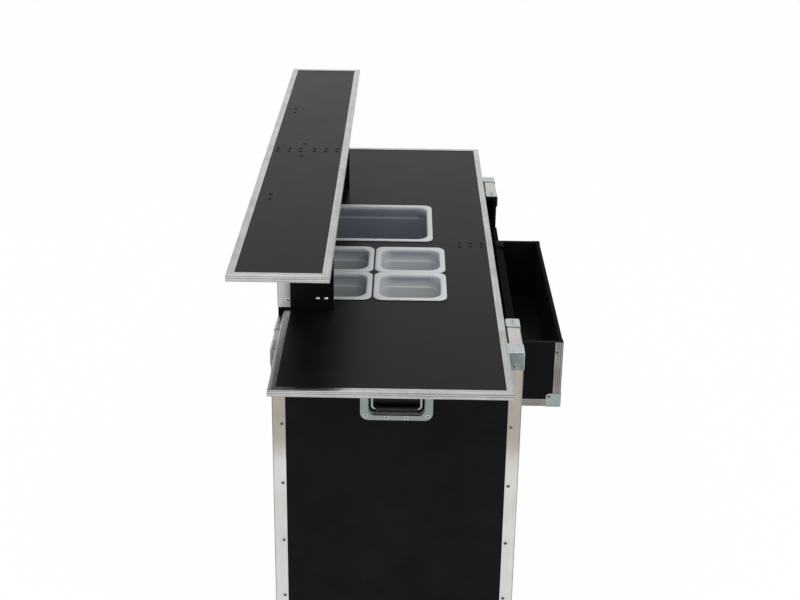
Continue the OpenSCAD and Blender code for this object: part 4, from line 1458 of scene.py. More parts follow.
@dataclass
class RecessedHandle:
    """A pressed handle plate over a black tray that paints the recess's shade, a sprung bail and a moulded
    grip.

    Attributes:
        end: the bar's end that it is let into.
    """

    end: End
    plate_w: float = 162.0
    plate_h: float = 128.0
    plate_r: float = 18.0
    open_w: float = 125.0
    open_h: float = 102.0
    open_r: float = 15.0
    depth: float = 20.0
    turn: float = 2.0
    lip: float = 13.0
    bead: float = 1.0
    wall: float = 1.5
    bail_w: float = 110.0
    bail_arm: float = 48.0
    bend: float = 8.0
    rod: float = 3.5
    grip_l: float = 94.0
    grip_r: float = 7.5
    pivot_in: float = 9.0
    pivot_up: float = 8.0

    def rings(self, corners: Corners, closed: bool) -> np.ndarray:
        """Carries a profile round the plate's opening.

        The share of the way from the plate's edge to the opening's edge sets each ring's height and corner
        radius, so that both outlines are met exactly; past the opening, rings only shrink.

        Args:
            corners: inset from the plate's side, distance out of the panel, and radius.
            closed: whether the profile closes on itself.

        Returns:
            Array of rings, points and coordinates.
        """
        inset = rounded(corners, closed, 5)
        if closed:
            inset = np.concatenate([inset, inset[:1]])
        side = (self.plate_w - self.open_w) / 2
        share = np.clip(inset[:, 0] / side, 0, 1)
        past = np.maximum(inset[:, 0] - side, 0)
        width = self.plate_w - 2 * inset[:, 0]
        height = self.plate_h - 2 * (share * (self.plate_h - self.open_h) / 2 + past)
        radius = self.plate_r + share * (self.open_r - self.plate_r) - 0.7 * past
        return outlines(width, height, radius, inset[:, 1], 8)

    def plate_frame(self) -> Surface:
        """The flat plate with a rolled bead round its opening and a short turned-in lip."""
        side, t = (self.plate_w - self.open_w) / 2, self.wall
        corners = [
            (side - t, -self.turn, 0.3), (side - t, 0.0, 0.8), (0.0, 0.0, 0.3), (0.0, t, 0.7),
            (side - 5.6, t, 1.0), (side - 4.6, t + self.bead, 0.9), (side - 0.4, t + self.bead, 1.8),
            (side, -self.turn, 0.4),
        ]
        return loft(self.rings(corners, True), (False, False))

    def recess_wall(self) -> Surface:
        """The wall of the recess, from the plate's turned-in edge back to the tray."""
        side, t = (self.plate_w - self.open_w) / 2, self.wall
        corners = [
            (side - t, -self.lip, 0.3), (side - t, -self.turn - 0.1, 0.3),
            (side + 0.1, -self.turn - 0.1, 0.3), (side + 0.5, -self.lip, 0.4),
        ]
        return loft(self.rings(corners, True), (False, False))

    def tray(self) -> Surface:
        """The black tray behind the opening, painted shade for the recess's depth, its wall meeting the
        plate's lip.
        """
        side, t = (self.plate_w - self.open_w) / 2, self.wall
        corners = [
            (side + 20, -self.depth - t, 0), (side - t, -self.depth - t, 5.0),
            (side - t, -self.lip - 0.1, 0.3), (side + 0.5, -self.lip - 0.1, 0.5),
            (side + 1.5, -self.depth, 4.0), (side + 24, -self.depth, 0),
        ]
        return loft(self.rings(corners, False))

    def build(self) -> None:
        """Builds the plate, the tray, the bail and the grip."""
        label = self.end.label
        low, high = node_box(f"{label}_handle_dish")
        face = (high[1] - self.wall) if self.end is End.FAR else (low[1] + self.wall)
        middle = ((low[0] + high[0]) / 2, face, (low[2] + high[2]) / 2)
        out = self.end.value * Y_AXIS
        ear = slab(16.0, self.depth - 2.0, 3.0, 3.0, 0.5)
        ears = [
            ear.placed((middle[0] + s * self.open_w / 2, face - out[1] * (self.depth / 2 + 1.0),
                        middle[2] + self.pivot_up), Z_AXIS, Y_AXIS, -s * X_AXIS)
            for s in (-1, 1)
        ]
        make_piece(f"{label}_handle_plate", [self.plate_frame().placed(middle, X_AXIS, Z_AXIS, out)],
                   PRESSED_PLATE, "cases", [f"{label}_handle_dish"])
        make_piece(f"{label}_handle_recess", [self.recess_wall().placed(middle, X_AXIS, Z_AXIS, out)],
                   LIT_RECESS, "cases")
        make_piece(f"{label}_handle_tray", [self.tray().placed(middle, X_AXIS, Z_AXIS, out), *ears],
                   SHADE_TRAY, "cases")
        pivot = (middle[0], face - out[1] * self.pivot_in, middle[2] + self.pivot_up)
        self.build_bail(pivot)
        self.build_grip((pivot[0], pivot[1], pivot[2] - self.bail_arm))

    def build_bail(self, pivot: tuple[float, float, float]) -> None:
        """Bends the bail from one rod: two pivot stubs, two arms and a bar.

        Args:
            pivot: middle of the pivots' line.
        """
        stub = self.open_w / 2 - 1.0
        half = self.bail_w / 2
        corners = [
            (-stub, 0, 0), (-half, 0, 3.5), (-half, -self.bail_arm, self.bend),
            (half, -self.bail_arm, self.bend), (half, 0, 3.5), (stub, 0, 0),
        ]
        rod = bent_bar(corners, 1, 0.0, circle(self.rod, 14), 8)
        label = self.end.label
        make_piece(f"{label}_bent_bail", [rod.placed(pivot)], BAIL_ROD, f"{label}_handle",
                   [f"{label}_handle_bail"])

    def build_grip(self, middle: tuple[float, float, float]) -> None:
        """Moulds the grip: a sleeve round the bail's bar, swelling to a collar at each end.

        Args:
            middle: middle of the grip.
        """
        half = self.grip_l / 2
        along = np.linspace(-1, 1, 41)
        swell = self.grip_r - 0.9 + 0.9 * np.abs(along) ** 6
        body = np.column_stack([swell, along * half])
        caps = rounded([(self.rod + 0.2, 0, 0), (self.grip_r, 0, 1.6), (self.grip_r, 4.0, 0)], False, 4)
        low_cap = caps + [0, -half]
        high_cap = (caps * [1, -1] + [0, half])[::-1]
        inner = body[np.abs(along) < 0.9]
        sleeve = lathe(np.concatenate([low_cap, inner, high_cap]), 28)
        label = self.end.label
        make_piece(f"{label}_moulded_grip", [sleeve.placed(middle, Y_AXIS, Z_AXIS, X_AXIS)], GRIP,
                   f"{label}_handle", [f"{label}_handle_grip"])


@dataclass
class SeamHinge:
    """Flat hinges with rolled knuckles, as used under both seams and on the front panel."""

    length: float = 76.5
    width: float = 24.0
    plate: float = 1.5
    drop: float = 4.1
    knuckle: float = 3.8
    pin: float = 2.0
    pitch: float = 28.5
    gap: float = 0.3
    cells: int = 5

    def leaf(self, first: int) -> list[Surface]:
        """One plate with its knuckles, its axis along +X from the origin and its plate towards +Y.

        Args:
            first: number of the first knuckle that belongs to this leaf.

        Returns:
            The plate and its rolled knuckles.
        """
        cell = self.length / self.cells
        depth = self.width - self.drop
        plate = slab(self.length, depth, 2.5, self.plate, 0.3).placed(
            (self.length / 2, self.drop + depth / 2, self.drop - self.plate))
        parts = [plate]
        roll = rounded(
            [(self.drop + 2.0, self.drop, 0), (0.0, self.drop, 1.5), (-self.knuckle, self.drop - 0.4, 2.6),
             (-self.knuckle, -self.knuckle, 3.5), (self.knuckle, -self.knuckle, 3.5),
             (self.knuckle, 1.4, 0.8), (self.drop + 2.0, self.drop - self.plate, 0)],
            True, 6,
        )
        for index in range(first, self.cells, 2):
            tube = extrusion(roll, cell - self.gap)
            parts.append(tube.placed((index * cell + self.gap / 2, 0, 0)))
        return parts

    def plate_rivets(self) -> list[Surface]:
        """Three rivet tails on the plate's free side.

        Returns:
            The tails.
        """
        tail = rivet_head(3.0, 0.9, 10)
        return [
            tail.placed((self.length / 2 + i * self.pitch, 11.0, self.drop - self.plate), X_AXIS, -Y_AXIS,
                        -Z_AXIS)
            for i in (-1, 0, 1)
        ]

    def mounted(self, first: int, place: Sequence[float], *axes: np.ndarray) -> list[Surface]:
        """Stands one plate with its knuckles and rivets on a place and three axes.

        Args:
            first: number of the first knuckle that belongs to the plate.
            place: start of the hinge's axis.
            *axes: directions that take the hinge's X, Y and Z.

        Returns:
            The placed parts.
        """
        return [part.placed(place, *axes) for part in self.leaf(first) + self.plate_rivets()]

    def pin_bar(self) -> Surface:
        """The hinge pin, with a rounded head at each end."""
        soft = rounded([(0.2, 0, 0), (self.pin, 0, 0.6), (self.pin, self.length, 0.6), (0.2, self.length, 0)],
                       False, 3)
        return lathe(soft, 16).placed((0, 0, 0), Y_AXIS, Z_AXIS, X_AXIS)


@dataclass
class FrontPanel:
    """The folding front panel: two leaves on three upright hinges."""

    hinge: SeamHinge = field(default_factory=SeamHinge)

    def build(self) -> None:
        """Builds the hinges and dresses the leaves."""
        dress(PLY_X, "front_near_leaf", "front_far_leaf")
        low, high = node_box("front_hinge_pins")
        axis_x, length = (low[0] + high[0]) / 2, self.hinge.length
        starts = [low[2], (low[2] + high[2] - length) / 2, high[2] - length]
        near: list[Surface] = []
        far: list[Surface] = []
        pins: list[Surface] = []
        for z in starts:
            place = (axis_x, 0, z)
            near += self.hinge.mounted(0, place, Z_AXIS, -Y_AXIS, X_AXIS)
            far += self.hinge.mounted(1, place, Z_AXIS, Y_AXIS, X_AXIS)
            pins.append(self.hinge.pin_bar().placed(place, Z_AXIS, Y_AXIS, X_AXIS))
        make_piece("front_near_hinge_leaves", near, ZINC, "cases", ["front_near_hinges"])
        make_piece("front_far_hinge_leaves", far, ZINC, "front_far_leaf", ["front_far_hinges"])
        make_piece("front_hinge_pin_bars", pins, PIN_STEEL, "cases", ["front_hinge_pins"])


@dataclass
class EdgeTrim:
    """The aluminium edging of a board: a top flange, a grooved outer face and mitred corners."""

    flange: float = 16.0
    wall: float = 1.2
    face: float = 14.0
    edge_radius: float = 1.6
    groove_w: float = 1.7
    groove_d: float = 0.8
    mitre_gap: float = 0.3

    def section(self) -> np.ndarray:
        """The trim's section, with one line along the flange and two along the face.

        Returns:
            The closed section: outer top corner at the origin, inward and down from there.
        """
        w, d = self.groove_w / 2, self.groove_d
        on_flange = [(4.8 - 0.4 * w, 0, 0.1), (4.8, -0.3 * d, 0.1), (4.8 + 0.4 * w, 0, 0.1)]
        on_face: list[tuple[float, float, float]] = []
        for depth in (7.6, 3.0):
            on_face += [(0, -depth - w, 0.1), (d, -depth, 0.15), (0, -depth + w, 0.1)]
        loop = [(0, 0, self.edge_radius), *on_flange, (self.flange, 0, 0.3), (self.flange, -self.wall, 0.2),
                (self.wall, -self.wall, 0.4), (self.wall, -self.face, 0.3), (0, -self.face, 0.6), *on_face]
        return rounded(loop, True, 4)

    def leaf(self, low: np.ndarray, high: np.ndarray, end: End) -> list[Surface]:
        """The three lengths of trim round one leaf, from the seam round its outer end.

        Args:
            low: lowest corner of the leaf's trim.
            high: highest corner of the leaf's trim.
            end: the bar's end at which the leaf lies.

        Returns:
            The end length and the two side lengths.
        """
        section = self.section()
        seam_y, end_y = (high[1], low[1]) if end is End.NEAR else (low[1], high[1])
        into = -end.value * Y_AXIS
        across = extrusion(section, high[0] - low[0] - 2 * self.mitre_gap, (1.0, 1.0))
        side = extrusion(section, abs(end_y - seam_y) - self.mitre_gap, (0.0, 1.0))
        return [
            across.placed((low[0] + self.mitre_gap, end_y, high[2]), X_AXIS, into, Z_AXIS),
            side.placed((low[0], seam_y, high[2]), -into, X_AXIS, Z_AXIS),
            side.placed((high[0], seam_y, high[2]), -into, -X_AXIS, Z_AXIS),
        ]


@dataclass
class Worktop:
    """The two-leaf worktop: boards, edging, hinges under the seam and their rivets."""

    seam: float = 0.2
    trim: EdgeTrim = field(default_factory=EdgeTrim)
    hinge: SeamHinge = field(default_factory=SeamHinge)

    def build(self) -> None:
        """Builds the edging, the hinges and the rivets, and dresses the boards."""
        dress(PLY_Z, "worktop_near_board", "worktop_far_board")
        low, high = node_box("worktop_trim")
        near_high, far_low = high.copy(), low.copy()
        near_high[1], far_low[1] = -self.seam, self.seam
        runs = self.trim.leaf(low, near_high, End.NEAR) + self.trim.leaf(far_low, high, End.FAR)
        make_piece("worktop_edging", runs, EDGING, "worktop", ["worktop_trim"])
        heads = [h.place(rivet_head(h.radius, h.height)) for h in heads_of("worktop_rivets")]
        make_piece("worktop_domed_rivets", heads, BLACK_RIVET, "worktop", ["worktop_rivets"])
        self.build_hinges()

    def build_hinges(self) -> None:
        """Sets two hinges under the seam."""
        low, high = node_box("worktop_hinges")
        length = self.hinge.length
        axis_z = high[2] - self.hinge.drop
        parts: list[Surface] = []
        for start in (low[0], high[0] - length):
            place = (start, 0, axis_z)
            for end, first in ((End.NEAR, 0), (End.FAR, 1)):
                parts += self.hinge.mounted(first, place, X_AXIS, end.value * Y_AXIS, Z_AXIS)
            parts.append(self.hinge.pin_bar().placed(place))
        make_piece("worktop_rolled_hinges", parts, ZINC, "worktop", ["worktop_hinges"])


@dataclass
class FoodPan:
    """A moulded food pan that hangs by its rim.

    Attributes:
        node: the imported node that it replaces.
        tones: colours that differ from the finish's own.
        play: how much narrower the moulding is than its place, along X.
        shoulder: depth of the stacking shoulder below the rim.
        well_corner: corner radius of the well at the rim's inner edge, wider than the rim's own corner.
    """

    node: str
    tones: dict[str, str] = field(default_factory=dict)
    play: float = 0.0
    shoulder: float = 32.0
    rim: float = 12.0
    rim_t: float = 3.0
    wall: float = 2.5
    corner: float = 22.0
    well_corner: float = 32.0
    step: float = 3.0
    draft: float = 0.13
    floor_r: float = 20.0

    def profile(self, deep: float) -> np.ndarray:
        """The pan's wall, from the middle of its underside out, over the rim and back to its floor.

        Below the shoulder each wall leans in by the draft times the depth.

        Args:
            deep: depth from the rim's top to the underside.

        Returns:
            Inset from the rim's edge, and height above the rim's seat, along the wall.
        """
        foot, seat = self.rim_t - deep, 0.0
        lean = self.draft * (deep - self.shoulder)
        low_out = self.rim + self.step + lean
        t = self.wall
        outside = [
            (low_out + 22, foot, 0), (low_out, foot, self.floor_r),
            (self.rim + self.step, -self.shoulder, 5.0),
            (self.rim + 0.6, -self.shoulder + 7.0, 4.0), (self.rim, seat, 0.8),
            (0.9, seat, 0.6), (0.0, seat + 0.6, 0.3), (0.0, self.rim_t, 2.3),
        ]
        inside = [
            (self.rim + t - 0.5, self.rim_t, 4.0), (self.rim + t + 0.9, -self.shoulder + 9.0, 5.0),
            (self.rim + self.step + t, -self.shoulder + 1.0, 4.0),
            (low_out + t, foot + t, self.floor_r - 2), (low_out + t + 22, foot + t, 0),
        ]
        return rounded([*outside, *inside], False, 6)

    def build(self) -> None:
        """Moulds the pan where its node lies.

        Going in from the rim's edge, the corner radius shrinks with the inset, then widens over the rim to
        the well's, and shrinks again with the inset down the well.
        """
        low, high = node_box(self.node)
        size = high - low
        seat = high[2] - self.rim_t
        width, depth = size[0] - self.play, size[1]
        inset, height = self.profile(size[2]).T
        at = [0.0, 0.25 * self.rim, self.rim, self.rim + self.well_corner]
        radius = np.interp(inset, at, [self.corner, self.corner - 0.25 * self.rim, self.well_corner, 0.0])
        skin = loft(outlines(width - 2 * inset, depth - 2 * inset, radius, height, 9))
        middle = ((low[0] + high[0]) / 2, (low[1] + high[1]) / 2, seat)
        finish = FrostedPolypropylene(
            f"frosted polypropylene, {size[2]:.0f} deep", rim_z=high[2] * MM, depth_mm=float(size[2]),
            shoulder_mm=self.shoulder, **self.tones)
        make_piece(f"{self.node}_moulding", [skin.placed(middle)], finish, self.node, [self.node])


@dataclass
class Riser:
    """The riser that carries the counter shelf: panels, uprights, foot angles, screws and magnets.

    Attributes:
        leg: width of the uprights' legs.
        foot_t: thickness of the foot angles.
        foot_up: height of their upright leg.
        screw_over: packed height above which a head is a screw and not a rivet.
        screw_brim: height of a screw head's brim.
        screw_rise: what a screw's dome is dressed taller than packed.
        screw_spread: a screw head's dressed radius, as a share of its packed one.
    """

    leg: float = 30.0
    foot_t: float = 3.0
    foot_up: float = 44.0
    screw_over: float = 2.0
    screw_brim: float = 0.8
    screw_rise: float = 1.4
    screw_spread: float = 1.15

    def build(self) -> None:
        """Builds the metal parts and dresses the panels."""
        dress(PLY_X, "riser_front")
        dress(PLY_Y, "riser_returns")
        dress(MAGNET, "shelf_catches")
        self.build_uprights()
        self.build_feet()
        self.build_screws()

    def build_uprights(self) -> None:
        """Stands an aluminium angle at each end of the riser's front."""
        low, high = node_box("riser_uprights")
        section = HalfCases().angle_section(self.leg)
        bars = [
            extrusion(section, high[2] - low[2]).placed(
                (low[0], end.value * high[1], low[2]), Z_AXIS, X_AXIS, -end.value * Y_AXIS)
            for end in End
        ]
        make_piece("riser_upright_extrusions", bars, ALUMINIUM, "worktop", ["riser_uprights"])

    def build_feet(self) -> None:
        """Bends the foot angles that hold the riser to the worktop."""
        low, high = node_box("riser_foot_angles")
        half = self.foot_t / 2
        width = high[0] - low[0]
        inner = np.abs(node_points("riser_foot_angles")[:, 1]).min()
        outer = high[1] - half
        strap = flat_bar(self.foot_t, width, 0.5)
        parts: list[Surface] = []
        for end in End:
            s = end.value
            corners = [
                (s * inner, low[2] + half, 0), (s * outer, low[2] + half, 3.5),
                (s * outer, low[2] + self.foot_up, 0),
            ]
            parts.append(bent_bar(corners, 0, low[0] + width / 2, strap))
        make_piece("riser_bent_feet", parts, BLACKENED, "worktop", ["riser_foot_angles"])

    def build_screws(self) -> None:
        """Domes the screws of the returns and the rivets of the uprights."""
        heads = heads_of("riser_screws")
        screws = [head for head in heads if head.height > self.screw_over]
        share = np.cos(np.linspace(0.0, 0.5 * np.pi, 7)[:-1])
        parts: list[Surface] = []
        for head in screws:
            profile = domed(share, self.screw_brim, head.height + self.screw_rise)
            parts.append(head.place(lathe(profile * [head.radius * self.screw_spread, 1.0], 18)))
        rings, mandrels = blind_rivets([head for head in heads if head.height <= self.screw_over])
        make_piece("riser_screws_and_rivets", parts + rings, BRIGHT_ROD, "worktop",
                   ["riser_screws"])
        make_piece("riser_rivet_mandrels", mandrels, MANDREL, "worktop")


@dataclass
class Thumbscrew:
    """A fluted thumbscrew that clamps the riser's foot.

    Attributes:
        end: the bar's end at which it stands.
    """

    end: End
    head_r: float = 10.0
    head_h: float = 9.0
    shank_r: float = 3.0
    flutes: int = 10
    flute_depth: float = 0.14

    def build(self) -> None:
        """Turns the shank and the fluted, domed head."""
        node = f"{self.end.label}_thumbscrew"
        low, high = node_box(node)
        seat = high[2] - self.head_h
        middle = ((low[0] + high[0]) / 2, (low[1] + high[1]) / 2, seat)
        head = rounded(
            [(2.0, 0, 0), (self.head_r - 1.5, 0, 0.5), (self.head_r, 1.4, 0.6),
             (self.head_r, self.head_h - 1.6, 1.2), (self.head_r - 2.6, self.head_h, 1.0),
             (2.0, self.head_h - 0.3, 0)],
            False, 4,
        )
        tip = low[2] - seat
        shank = rounded(
            [(0.6, tip, 0), (self.shank_r, tip, 0.6), (self.shank_r, 0.2, 0), (1.0, 0.2, 0)], False, 3
        )
        parts = [lathe(head, 80, (self.flutes, self.flute_depth)), lathe(shank, 18)]
        make_piece(f"{node}_turned", [p.placed(middle) for p in parts], BLACKENED, node,
                   [node])


@dataclass
class CounterShelf:
    """One leaf of the counter shelf with its edging, hinge leaves, locating angle and strike plate.

    Attributes:
        end: the bar's end towards which the leaf reaches.
    """

    end: End
    trim: EdgeTrim = field(default_factory=EdgeTrim)
    hinge: SeamHinge = field(default_factory=SeamHinge)
    locator_w: float = 54.0
    locator_leaf: float = 36.0
    locator_web: float = 22.0
    strike: tuple[float, float, float] = (26.0, 24.0, 1.0)
    plate: float = 1.5

    def build(self) -> None:
        """Builds the leaf's metal and dresses its board."""
        label = self.end.label
        body = f"shelf_{label}"
        dress(PLY_Z, f"shelf_{label}_board")
        low, high = node_box(f"shelf_{label}_trim")
        make_piece(f"shelf_{label}_edging", self.trim.leaf(low, high, self.end), EDGING, body,
                   [f"shelf_{label}_trim"])
        self.build_fittings(body)

    def build_fittings(self, body: str) -> None:
        """Builds what is fastened under the leaf, and the rivet heads on top.

        Args:
            body: the body that the leaf rides on.
        """
        label = self.end.label
        node = f"shelf_{label}_fittings"
        board_low, board_high = node_box(f"shelf_{label}_board")
        points = node_points(node)
        under = points[points[:, 2] < board_low[2] + 0.1]
        under_z = under[:, 2].max()
        way = self.end.value * Y_AXIS
        pins_low, pins_high = node_box("shelf_hinge_pins")
        axis_z = (pins_low[2] + pins_high[2]) / 2
        parts: list[Surface] = []
        first = 0 if self.end is End.NEAR else 1
        for start in (pins_low[0], pins_high[0] - self.hinge.length):
            parts += self.hinge.mounted(first, (start, 0, axis_z), X_AXIS, way, Z_AXIS)
        parts += self.locator(under, under_z) + self.strike_plate(under, under_z)
        make_piece(f"shelf_{label}_under_fittings", parts, ZINC, body, [node])
        heads = [h.place(rivet_head(h.radius, h.height)) for h in heads_above(node, board_high[2] - 0.1)]
        make_piece(f"shelf_{label}_domed_rivets", heads, BLACK_RIVET, body)

    def locator(self, under: np.ndarray, under_z: float) -> list[Surface]:
        """Bends the locating angle that hooks over the riser's face.

        Args:
            under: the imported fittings' points below the board.
            under_z: height of the board's underside.

        Returns:
            The bent angle.
        """
        deepest = under[under[:, 2] < under_z - self.locator_web + 1.0]
        web_x = deepest[:, 0].max() - self.plate / 2
        middle_y = (deepest[:, 1].min() + deepest[:, 1].max()) / 2
        top = under_z - self.plate / 2
        outer_x = web_x + self.plate / 2 - self.locator_leaf
        corners = [(outer_x, top, 0), (web_x, top, 2.5), (web_x, under_z - self.locator_web, 0)]
        return [bent_bar(corners, 1, middle_y, flat_bar(self.plate, self.locator_w, 0.4))]

    def strike_plate(self, under: np.ndarray, under_z: float) -> list[Surface]:
        """Sets the flat plate that the riser's magnet holds.

        Args:
            under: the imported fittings' points below the board.
            under_z: height of the board's underside.

        Returns:
            The plate.
        """
        length, width, thick = self.strike
        near = under[(np.abs(under[:, 1]) > 30) & (np.abs(under[:, 1]) < 70)]
        middle = ((near[:, 0].min() + near[:, 0].max()) / 2, (near[:, 1].min() + near[:, 1].max()) / 2)
        return [slab(length, width, 3.0, thick, 0.3).placed((*middle, under_z - thick))]


@dataclass
class ShelfHingePins:
    """The pins of the two hinges under the counter shelf's seam."""

    hinge: SeamHinge = field(default_factory=SeamHinge)

    def build(self) -> None:
        """Turns both pins where their node lies."""
        low, high = node_box("shelf_hinge_pins")
        axis_z = (low[2] + high[2]) / 2
        starts = (low[0], high[0] - self.hinge.length)
        pins = [self.hinge.pin_bar().placed((start, 0, axis_z)) for start in starts]
        make_piece("shelf_hinge_pin_bars", pins, PIN_STEEL, "shelf_hinge", ["shelf_hinge_pins"])


@dataclass
class BottleRack:
    """The bottle rack: panels, grooved angles, corner caps, hooks and rivets."""

    leg: float = 20.0
    cap_leg: float = 36.0
    cap_lap: float = 6.0
    plate: float = 1.5
    edge_radius: float = 3.0
    free_corner: float = 8.0
    hook_t: float = 2.0
    hook_w: float = 40.0

    def build(self) -> None:
        """Builds the rack's metal and dresses its panels."""
        dress(PLY_X, "rack_inner_wall")
        dress(LIGHTENED_PLY_X, "rack_outer_wall")
        dress(EDGE_TONED_PLY_Y, "rack_end_panels")
        dress(PLY_Z, "rack_floor")
        self.build_angles()
        self.build_caps()
        self.build_hooks()
        rings, mandrels = blind_rivets(heads_of("rack_rivets"))
        make_piece("rack_blind_rivets", rings, ZINC, "rack", ["rack_rivets"])
        make_piece("rack_rivet_mandrels", mandrels, MANDREL, "rack")

    def build_angles(self) -> None:
        """Runs grooved angles up the outer corners, along the end edges and along the outer edge."""
        low, high = node_box("rack_angles")
        cut = self.cap_leg - self.cap_lap
        section = HalfCases().angle_section(self.leg, grooves=True)
        runs: list[Surface] = []
        for end in End:
            into = -end.value * Y_AXIS
            y = end.value * high[1]
            upright = extrusion(section, high[2] - low[2] - cut)
            runs.append(upright.placed((high[0], y, low[2] + cut), Z_AXIS, -X_AXIS, into))
            across = extrusion(section, high[0] - low[0] - cut)
            runs.append(across.placed((low[0], y, low[2]), X_AXIS, into, Z_AXIS))
        along = extrusion(section, high[1] - low[1] - 2 * cut)
        runs.append(along.placed((high[0], low[1] + cut, low[2]), Y_AXIS, -X_AXIS, Z_AXIS))
        make_piece("rack_angle_extrusions", runs, RACK_ANGLE, "rack", ["rack_angles"])

    def build_caps(self) -> None:
        """Presses a cap over each outer bottom corner."""
        low, high = node_box("rack_corner_caps")
        over = self.edge_radius + self.plate
        shell = corner_shell(self.cap_leg + self.plate, self.plate, over, self.free_corner)
        caps = [
            shell.placed((high[0], end.value * high[1], low[2]), -X_AXIS, -end.value * Y_AXIS, Z_AXIS)
            for end in End
        ]
        make_piece("rack_pressed_corners", caps, RACK_CORNER, "rack", ["rack_corner_caps"])

    def build_hooks(self) -> None:
        """Bends two strap hooks from the inner wall over the cross rail."""
        low, high = node_box("rack_hooks")
        half = self.hook_t / 2
        rail_top = high[2] - half
        drop = node_points("rack_hooks")
        tip = drop[drop[:, 0] < low[0] + 0.1][:, 2].min()
        corners = [
            (high[0] - half, low[2], 0), (high[0] - half, rail_top, 3.0), (low[0] + half, rail_top, 3.0),
            (low[0] + half, tip, 0),
        ]
        strap = flat_bar(self.hook_t, self.hook_w, 0.5)
        parts = [bent_bar(corners, 1, end.value * (high[1] - self.hook_w / 2), strap) for end in End]
        make_piece("rack_bent_hooks", parts, BLACKENED, "rack", ["rack_hooks"])


@dataclass
class CrossRail:
    """The cross rail between the cases, with a riveted bracket at each end."""

    def build(self) -> None:
        """Dresses the rail and its brackets."""
        dress(PLY_X, "cross_rail")
        dress(ZINC, "rail_brackets")


# --- Studio ---


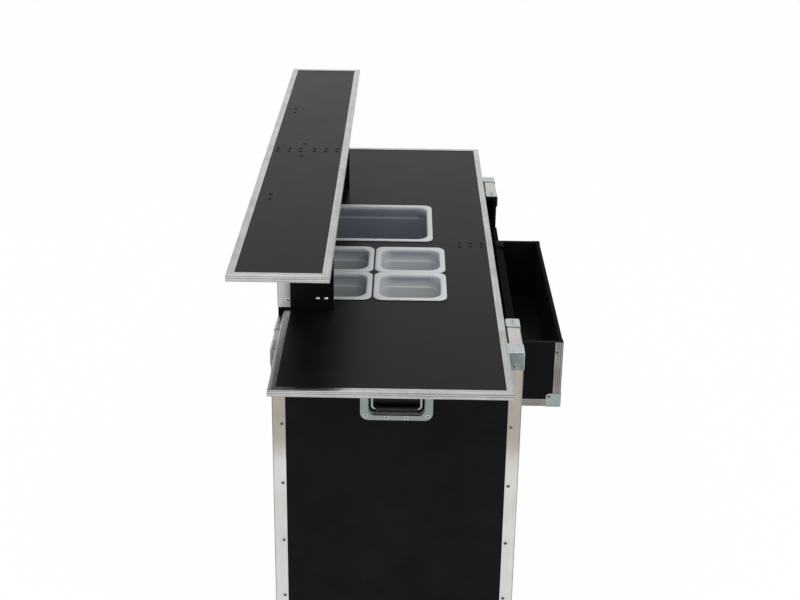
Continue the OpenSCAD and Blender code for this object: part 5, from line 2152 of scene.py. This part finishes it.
@dataclass
class Studio:
    """A plain white studio: floor, soft lamps and the camera.

    Attributes:
        camera_place: the camera's place in millimetres.
        pitch_deg: how far the camera looks down.
        yaw_deg: how far it looks round towards +X.
        roll_deg: how far it is rolled.
        focal_px: focal length in pixels of an 800 pixel wide image.
        centre_y_px: height of the optical centre below the image's top, in pixels.
        world_strength: strength of the even light all round.
        floor_half: half of the floor's width in millimetres.
        floor_deep: the floor's thickness in millimetres.
        floor_glow: share of the floor's look, seen directly, that is pure white.
    """

    camera_place: tuple[float, float, float] = (-19.38, -3177.906, 2157.887)
    pitch_deg: float = 20.194
    yaw_deg: float = -0.203
    roll_deg: float = -0.815
    focal_px: float = 1326.395
    centre_y_px: float = 200.353
    image_w: int = 800
    image_h: int = 600
    sensor: float = 36.0
    world_strength: float = 0.75
    floor_half: float = 14000.0
    floor_deep: float = 2.0
    floor_glow: float = 0.975

    def build(self) -> None:
        """Sets up the camera, the floor, the world and the lamps."""
        self.build_camera()
        self.build_floor()
        self.build_world()
        self.build_lamps()
        bpy.context.scene.view_settings.view_transform = "Standard"

    def build_camera(self) -> None:
        """Places the camera from its pitch, yaw and roll, with its lens and shift from the pixel values."""
        pitch, yaw, roll = (math.radians(v) for v in (self.pitch_deg, self.yaw_deg, self.roll_deg))
        forward = np.array(
            [math.sin(yaw) * math.cos(pitch), math.cos(yaw) * math.cos(pitch), -math.sin(pitch)])
        level = np.array([math.cos(yaw), -math.sin(yaw), 0.0])
        upward = np.cross(level, forward)
        right = math.cos(roll) * level - math.sin(roll) * upward
        upward = np.cross(right, forward)
        data = bpy.data.cameras.new("camera")
        data.sensor_width = self.sensor
        data.lens = self.focal_px / self.image_w * self.sensor
        data.shift_y = (self.centre_y_px - self.image_h / 2) / self.image_w
        data.clip_end = 50.0
        camera = bpy.data.objects.new("camera", data)
        stand(camera, self.camera_place, np.stack([right, upward, -forward], 1))
        bpy.context.scene.camera = camera

    def build_floor(self) -> None:
        """Lays a wide white floor that shows nearly pure white to the camera and keeps the shadow."""
        square = self.floor_half * np.array([[-1, -1], [1, -1], [1, 1], [-1, 1]])
        skin = loft(np.stack([np.insert(square, 2, z, axis=1) for z in (-self.floor_deep, 0.0)]))
        mesh = bpy.data.meshes.new("studio_floor")
        mesh.from_pydata((skin.points * MM).tolist(), [], skin.faces)
        mesh.materials.append(self.floor_material())
        floor = bpy.data.objects.new("studio_floor", mesh)
        bpy.context.scene.collection.objects.link(floor)

    def floor_material(self) -> bpy.types.Material:
        """White vinyl floor: matt, and mostly pure white to camera, glossy and transmission rays.

        Returns:
            The floor's material.
        """
        made = bpy.data.materials.new("white studio vinyl")
        made.use_nodes = True
        tree = made.node_tree
        tree.nodes.clear()
        matt = add_node(
            tree, "BsdfPrincipled",
            {"Base Color": linear("#f2f2f2"), "Roughness": 0.8, "Specular IOR Level": 0.1},
        )
        glow = add_node(tree, "Emission", {"Color": (1, 1, 1, 1), "Strength": 1.0})
        mixed = add_node(
            tree, "MixShader",
            links={0: seen_directly(tree, self.floor_glow), 1: matt.outputs[0], 2: glow.outputs[0]},
        )
        add_node(tree, "OutputMaterial", links={"Surface": mixed.outputs["Shader"]})
        return made

    def build_world(self) -> None:
        """Surrounds the bar with an even pale light, pure white where it is seen directly."""
        world = bpy.data.worlds.new("studio")
        world.use_nodes = True
        tree = world.node_tree
        tree.nodes.clear()
        ambient = add_node(
            tree, "Background", {"Color": (1, 1, 1, 1), "Strength": self.world_strength})
        white = add_node(tree, "Background", {"Color": (1, 1, 1, 1), "Strength": 1.0})
        mixed = add_node(
            tree, "MixShader",
            links={0: seen_directly(tree, 1.0), 1: ambient.outputs[0], 2: white.outputs[0]},
        )
        add_node(tree, "OutputWorld", links={"Surface": mixed.outputs[0]})
        bpy.context.scene.world = world

    def build_lamps(self) -> None:
        """Hangs a broad soft box over the bar and a gentler one in front of its near end."""
        lamps = [
            ("overhead softbox", (-900.0, -1500.0, 4200.0), (0.0, 0.0, 800.0), 3000.0, 55.0),
            ("fill softbox", (2200.0, -2600.0, 1900.0), (0.0, 0.0, 700.0), 2000.0, 14.0),
        ]
        for name, place, target, size, power in lamps:
            data = bpy.data.lights.new(name, "AREA")
            data.size = size * MM
            data.energy = power
            lamp = bpy.data.objects.new(name, data)
            back = np.array(place) - np.array(target)
            back /= np.linalg.norm(back)
            right = np.cross(Z_AXIS, back)
            right /= np.linalg.norm(right)
            stand(lamp, place, np.stack([right, np.cross(back, right), back], 1))


def stand(thing: bpy.types.Object, place: Sequence[float], axes: np.ndarray) -> None:
    """Puts a lamp or a camera into the scene.

    Args:
        thing: the lamp or camera.
        place: its place in millimetres.
        axes: its own X, Y and Z, as columns.
    """
    thing.matrix_world = Matrix.Translation([v * MM for v in place]) @ Matrix(axes.tolist()).to_4x4()
    bpy.context.scene.collection.objects.link(thing)


def seen_directly(tree: Tree, share: float) -> Socket:
    """Gives a share to camera, glossy and transmission rays, and nothing to the rest.

    Args:
        tree: the nodes to add to.
        share: the value for those rays.

    Returns:
        The value's socket.
    """
    path = add_node(tree, "LightPath")
    first = add_node(
        tree, "Math",
        links={0: path.outputs["Is Camera Ray"], 1: path.outputs["Is Glossy Ray"]}, operation="MAXIMUM",
    )
    second = add_node(
        tree, "Math",
        links={0: first.outputs[0], 1: path.outputs["Is Transmission Ray"]}, operation="MAXIMUM",
    )
    scaled = add_node(tree, "Math", {1: share}, {0: second.outputs[0]}, operation="MULTIPLY")
    return scaled.outputs[0]


def main() -> None:
    """Builds the bar's sub-assemblies in order."""
    logging.basicConfig(level=logging.INFO, format="%(name)s: %(message)s")
    Studio().build()
    assemblies = [
        HalfCases(),
        *(RecessedHandle(end) for end in End),
        FrontPanel(),
        CrossRail(),
        BottleRack(),
        Worktop(),
        FoodPan("big_pan", BIG_PAN_SHADED_TONES, shoulder=33.0),
        *(FoodPan(f"small_pan_{number}", play=1.8) for number in (1, 2, 3, 4)),
        Riser(),
        *(Thumbscrew(end) for end in End),
        *(CounterShelf(end) for end in End),
        ShelfHingePins(),
    ]
    for assembly in assemblies:
        assembly.build()


if __name__ == "__main__":
    main()
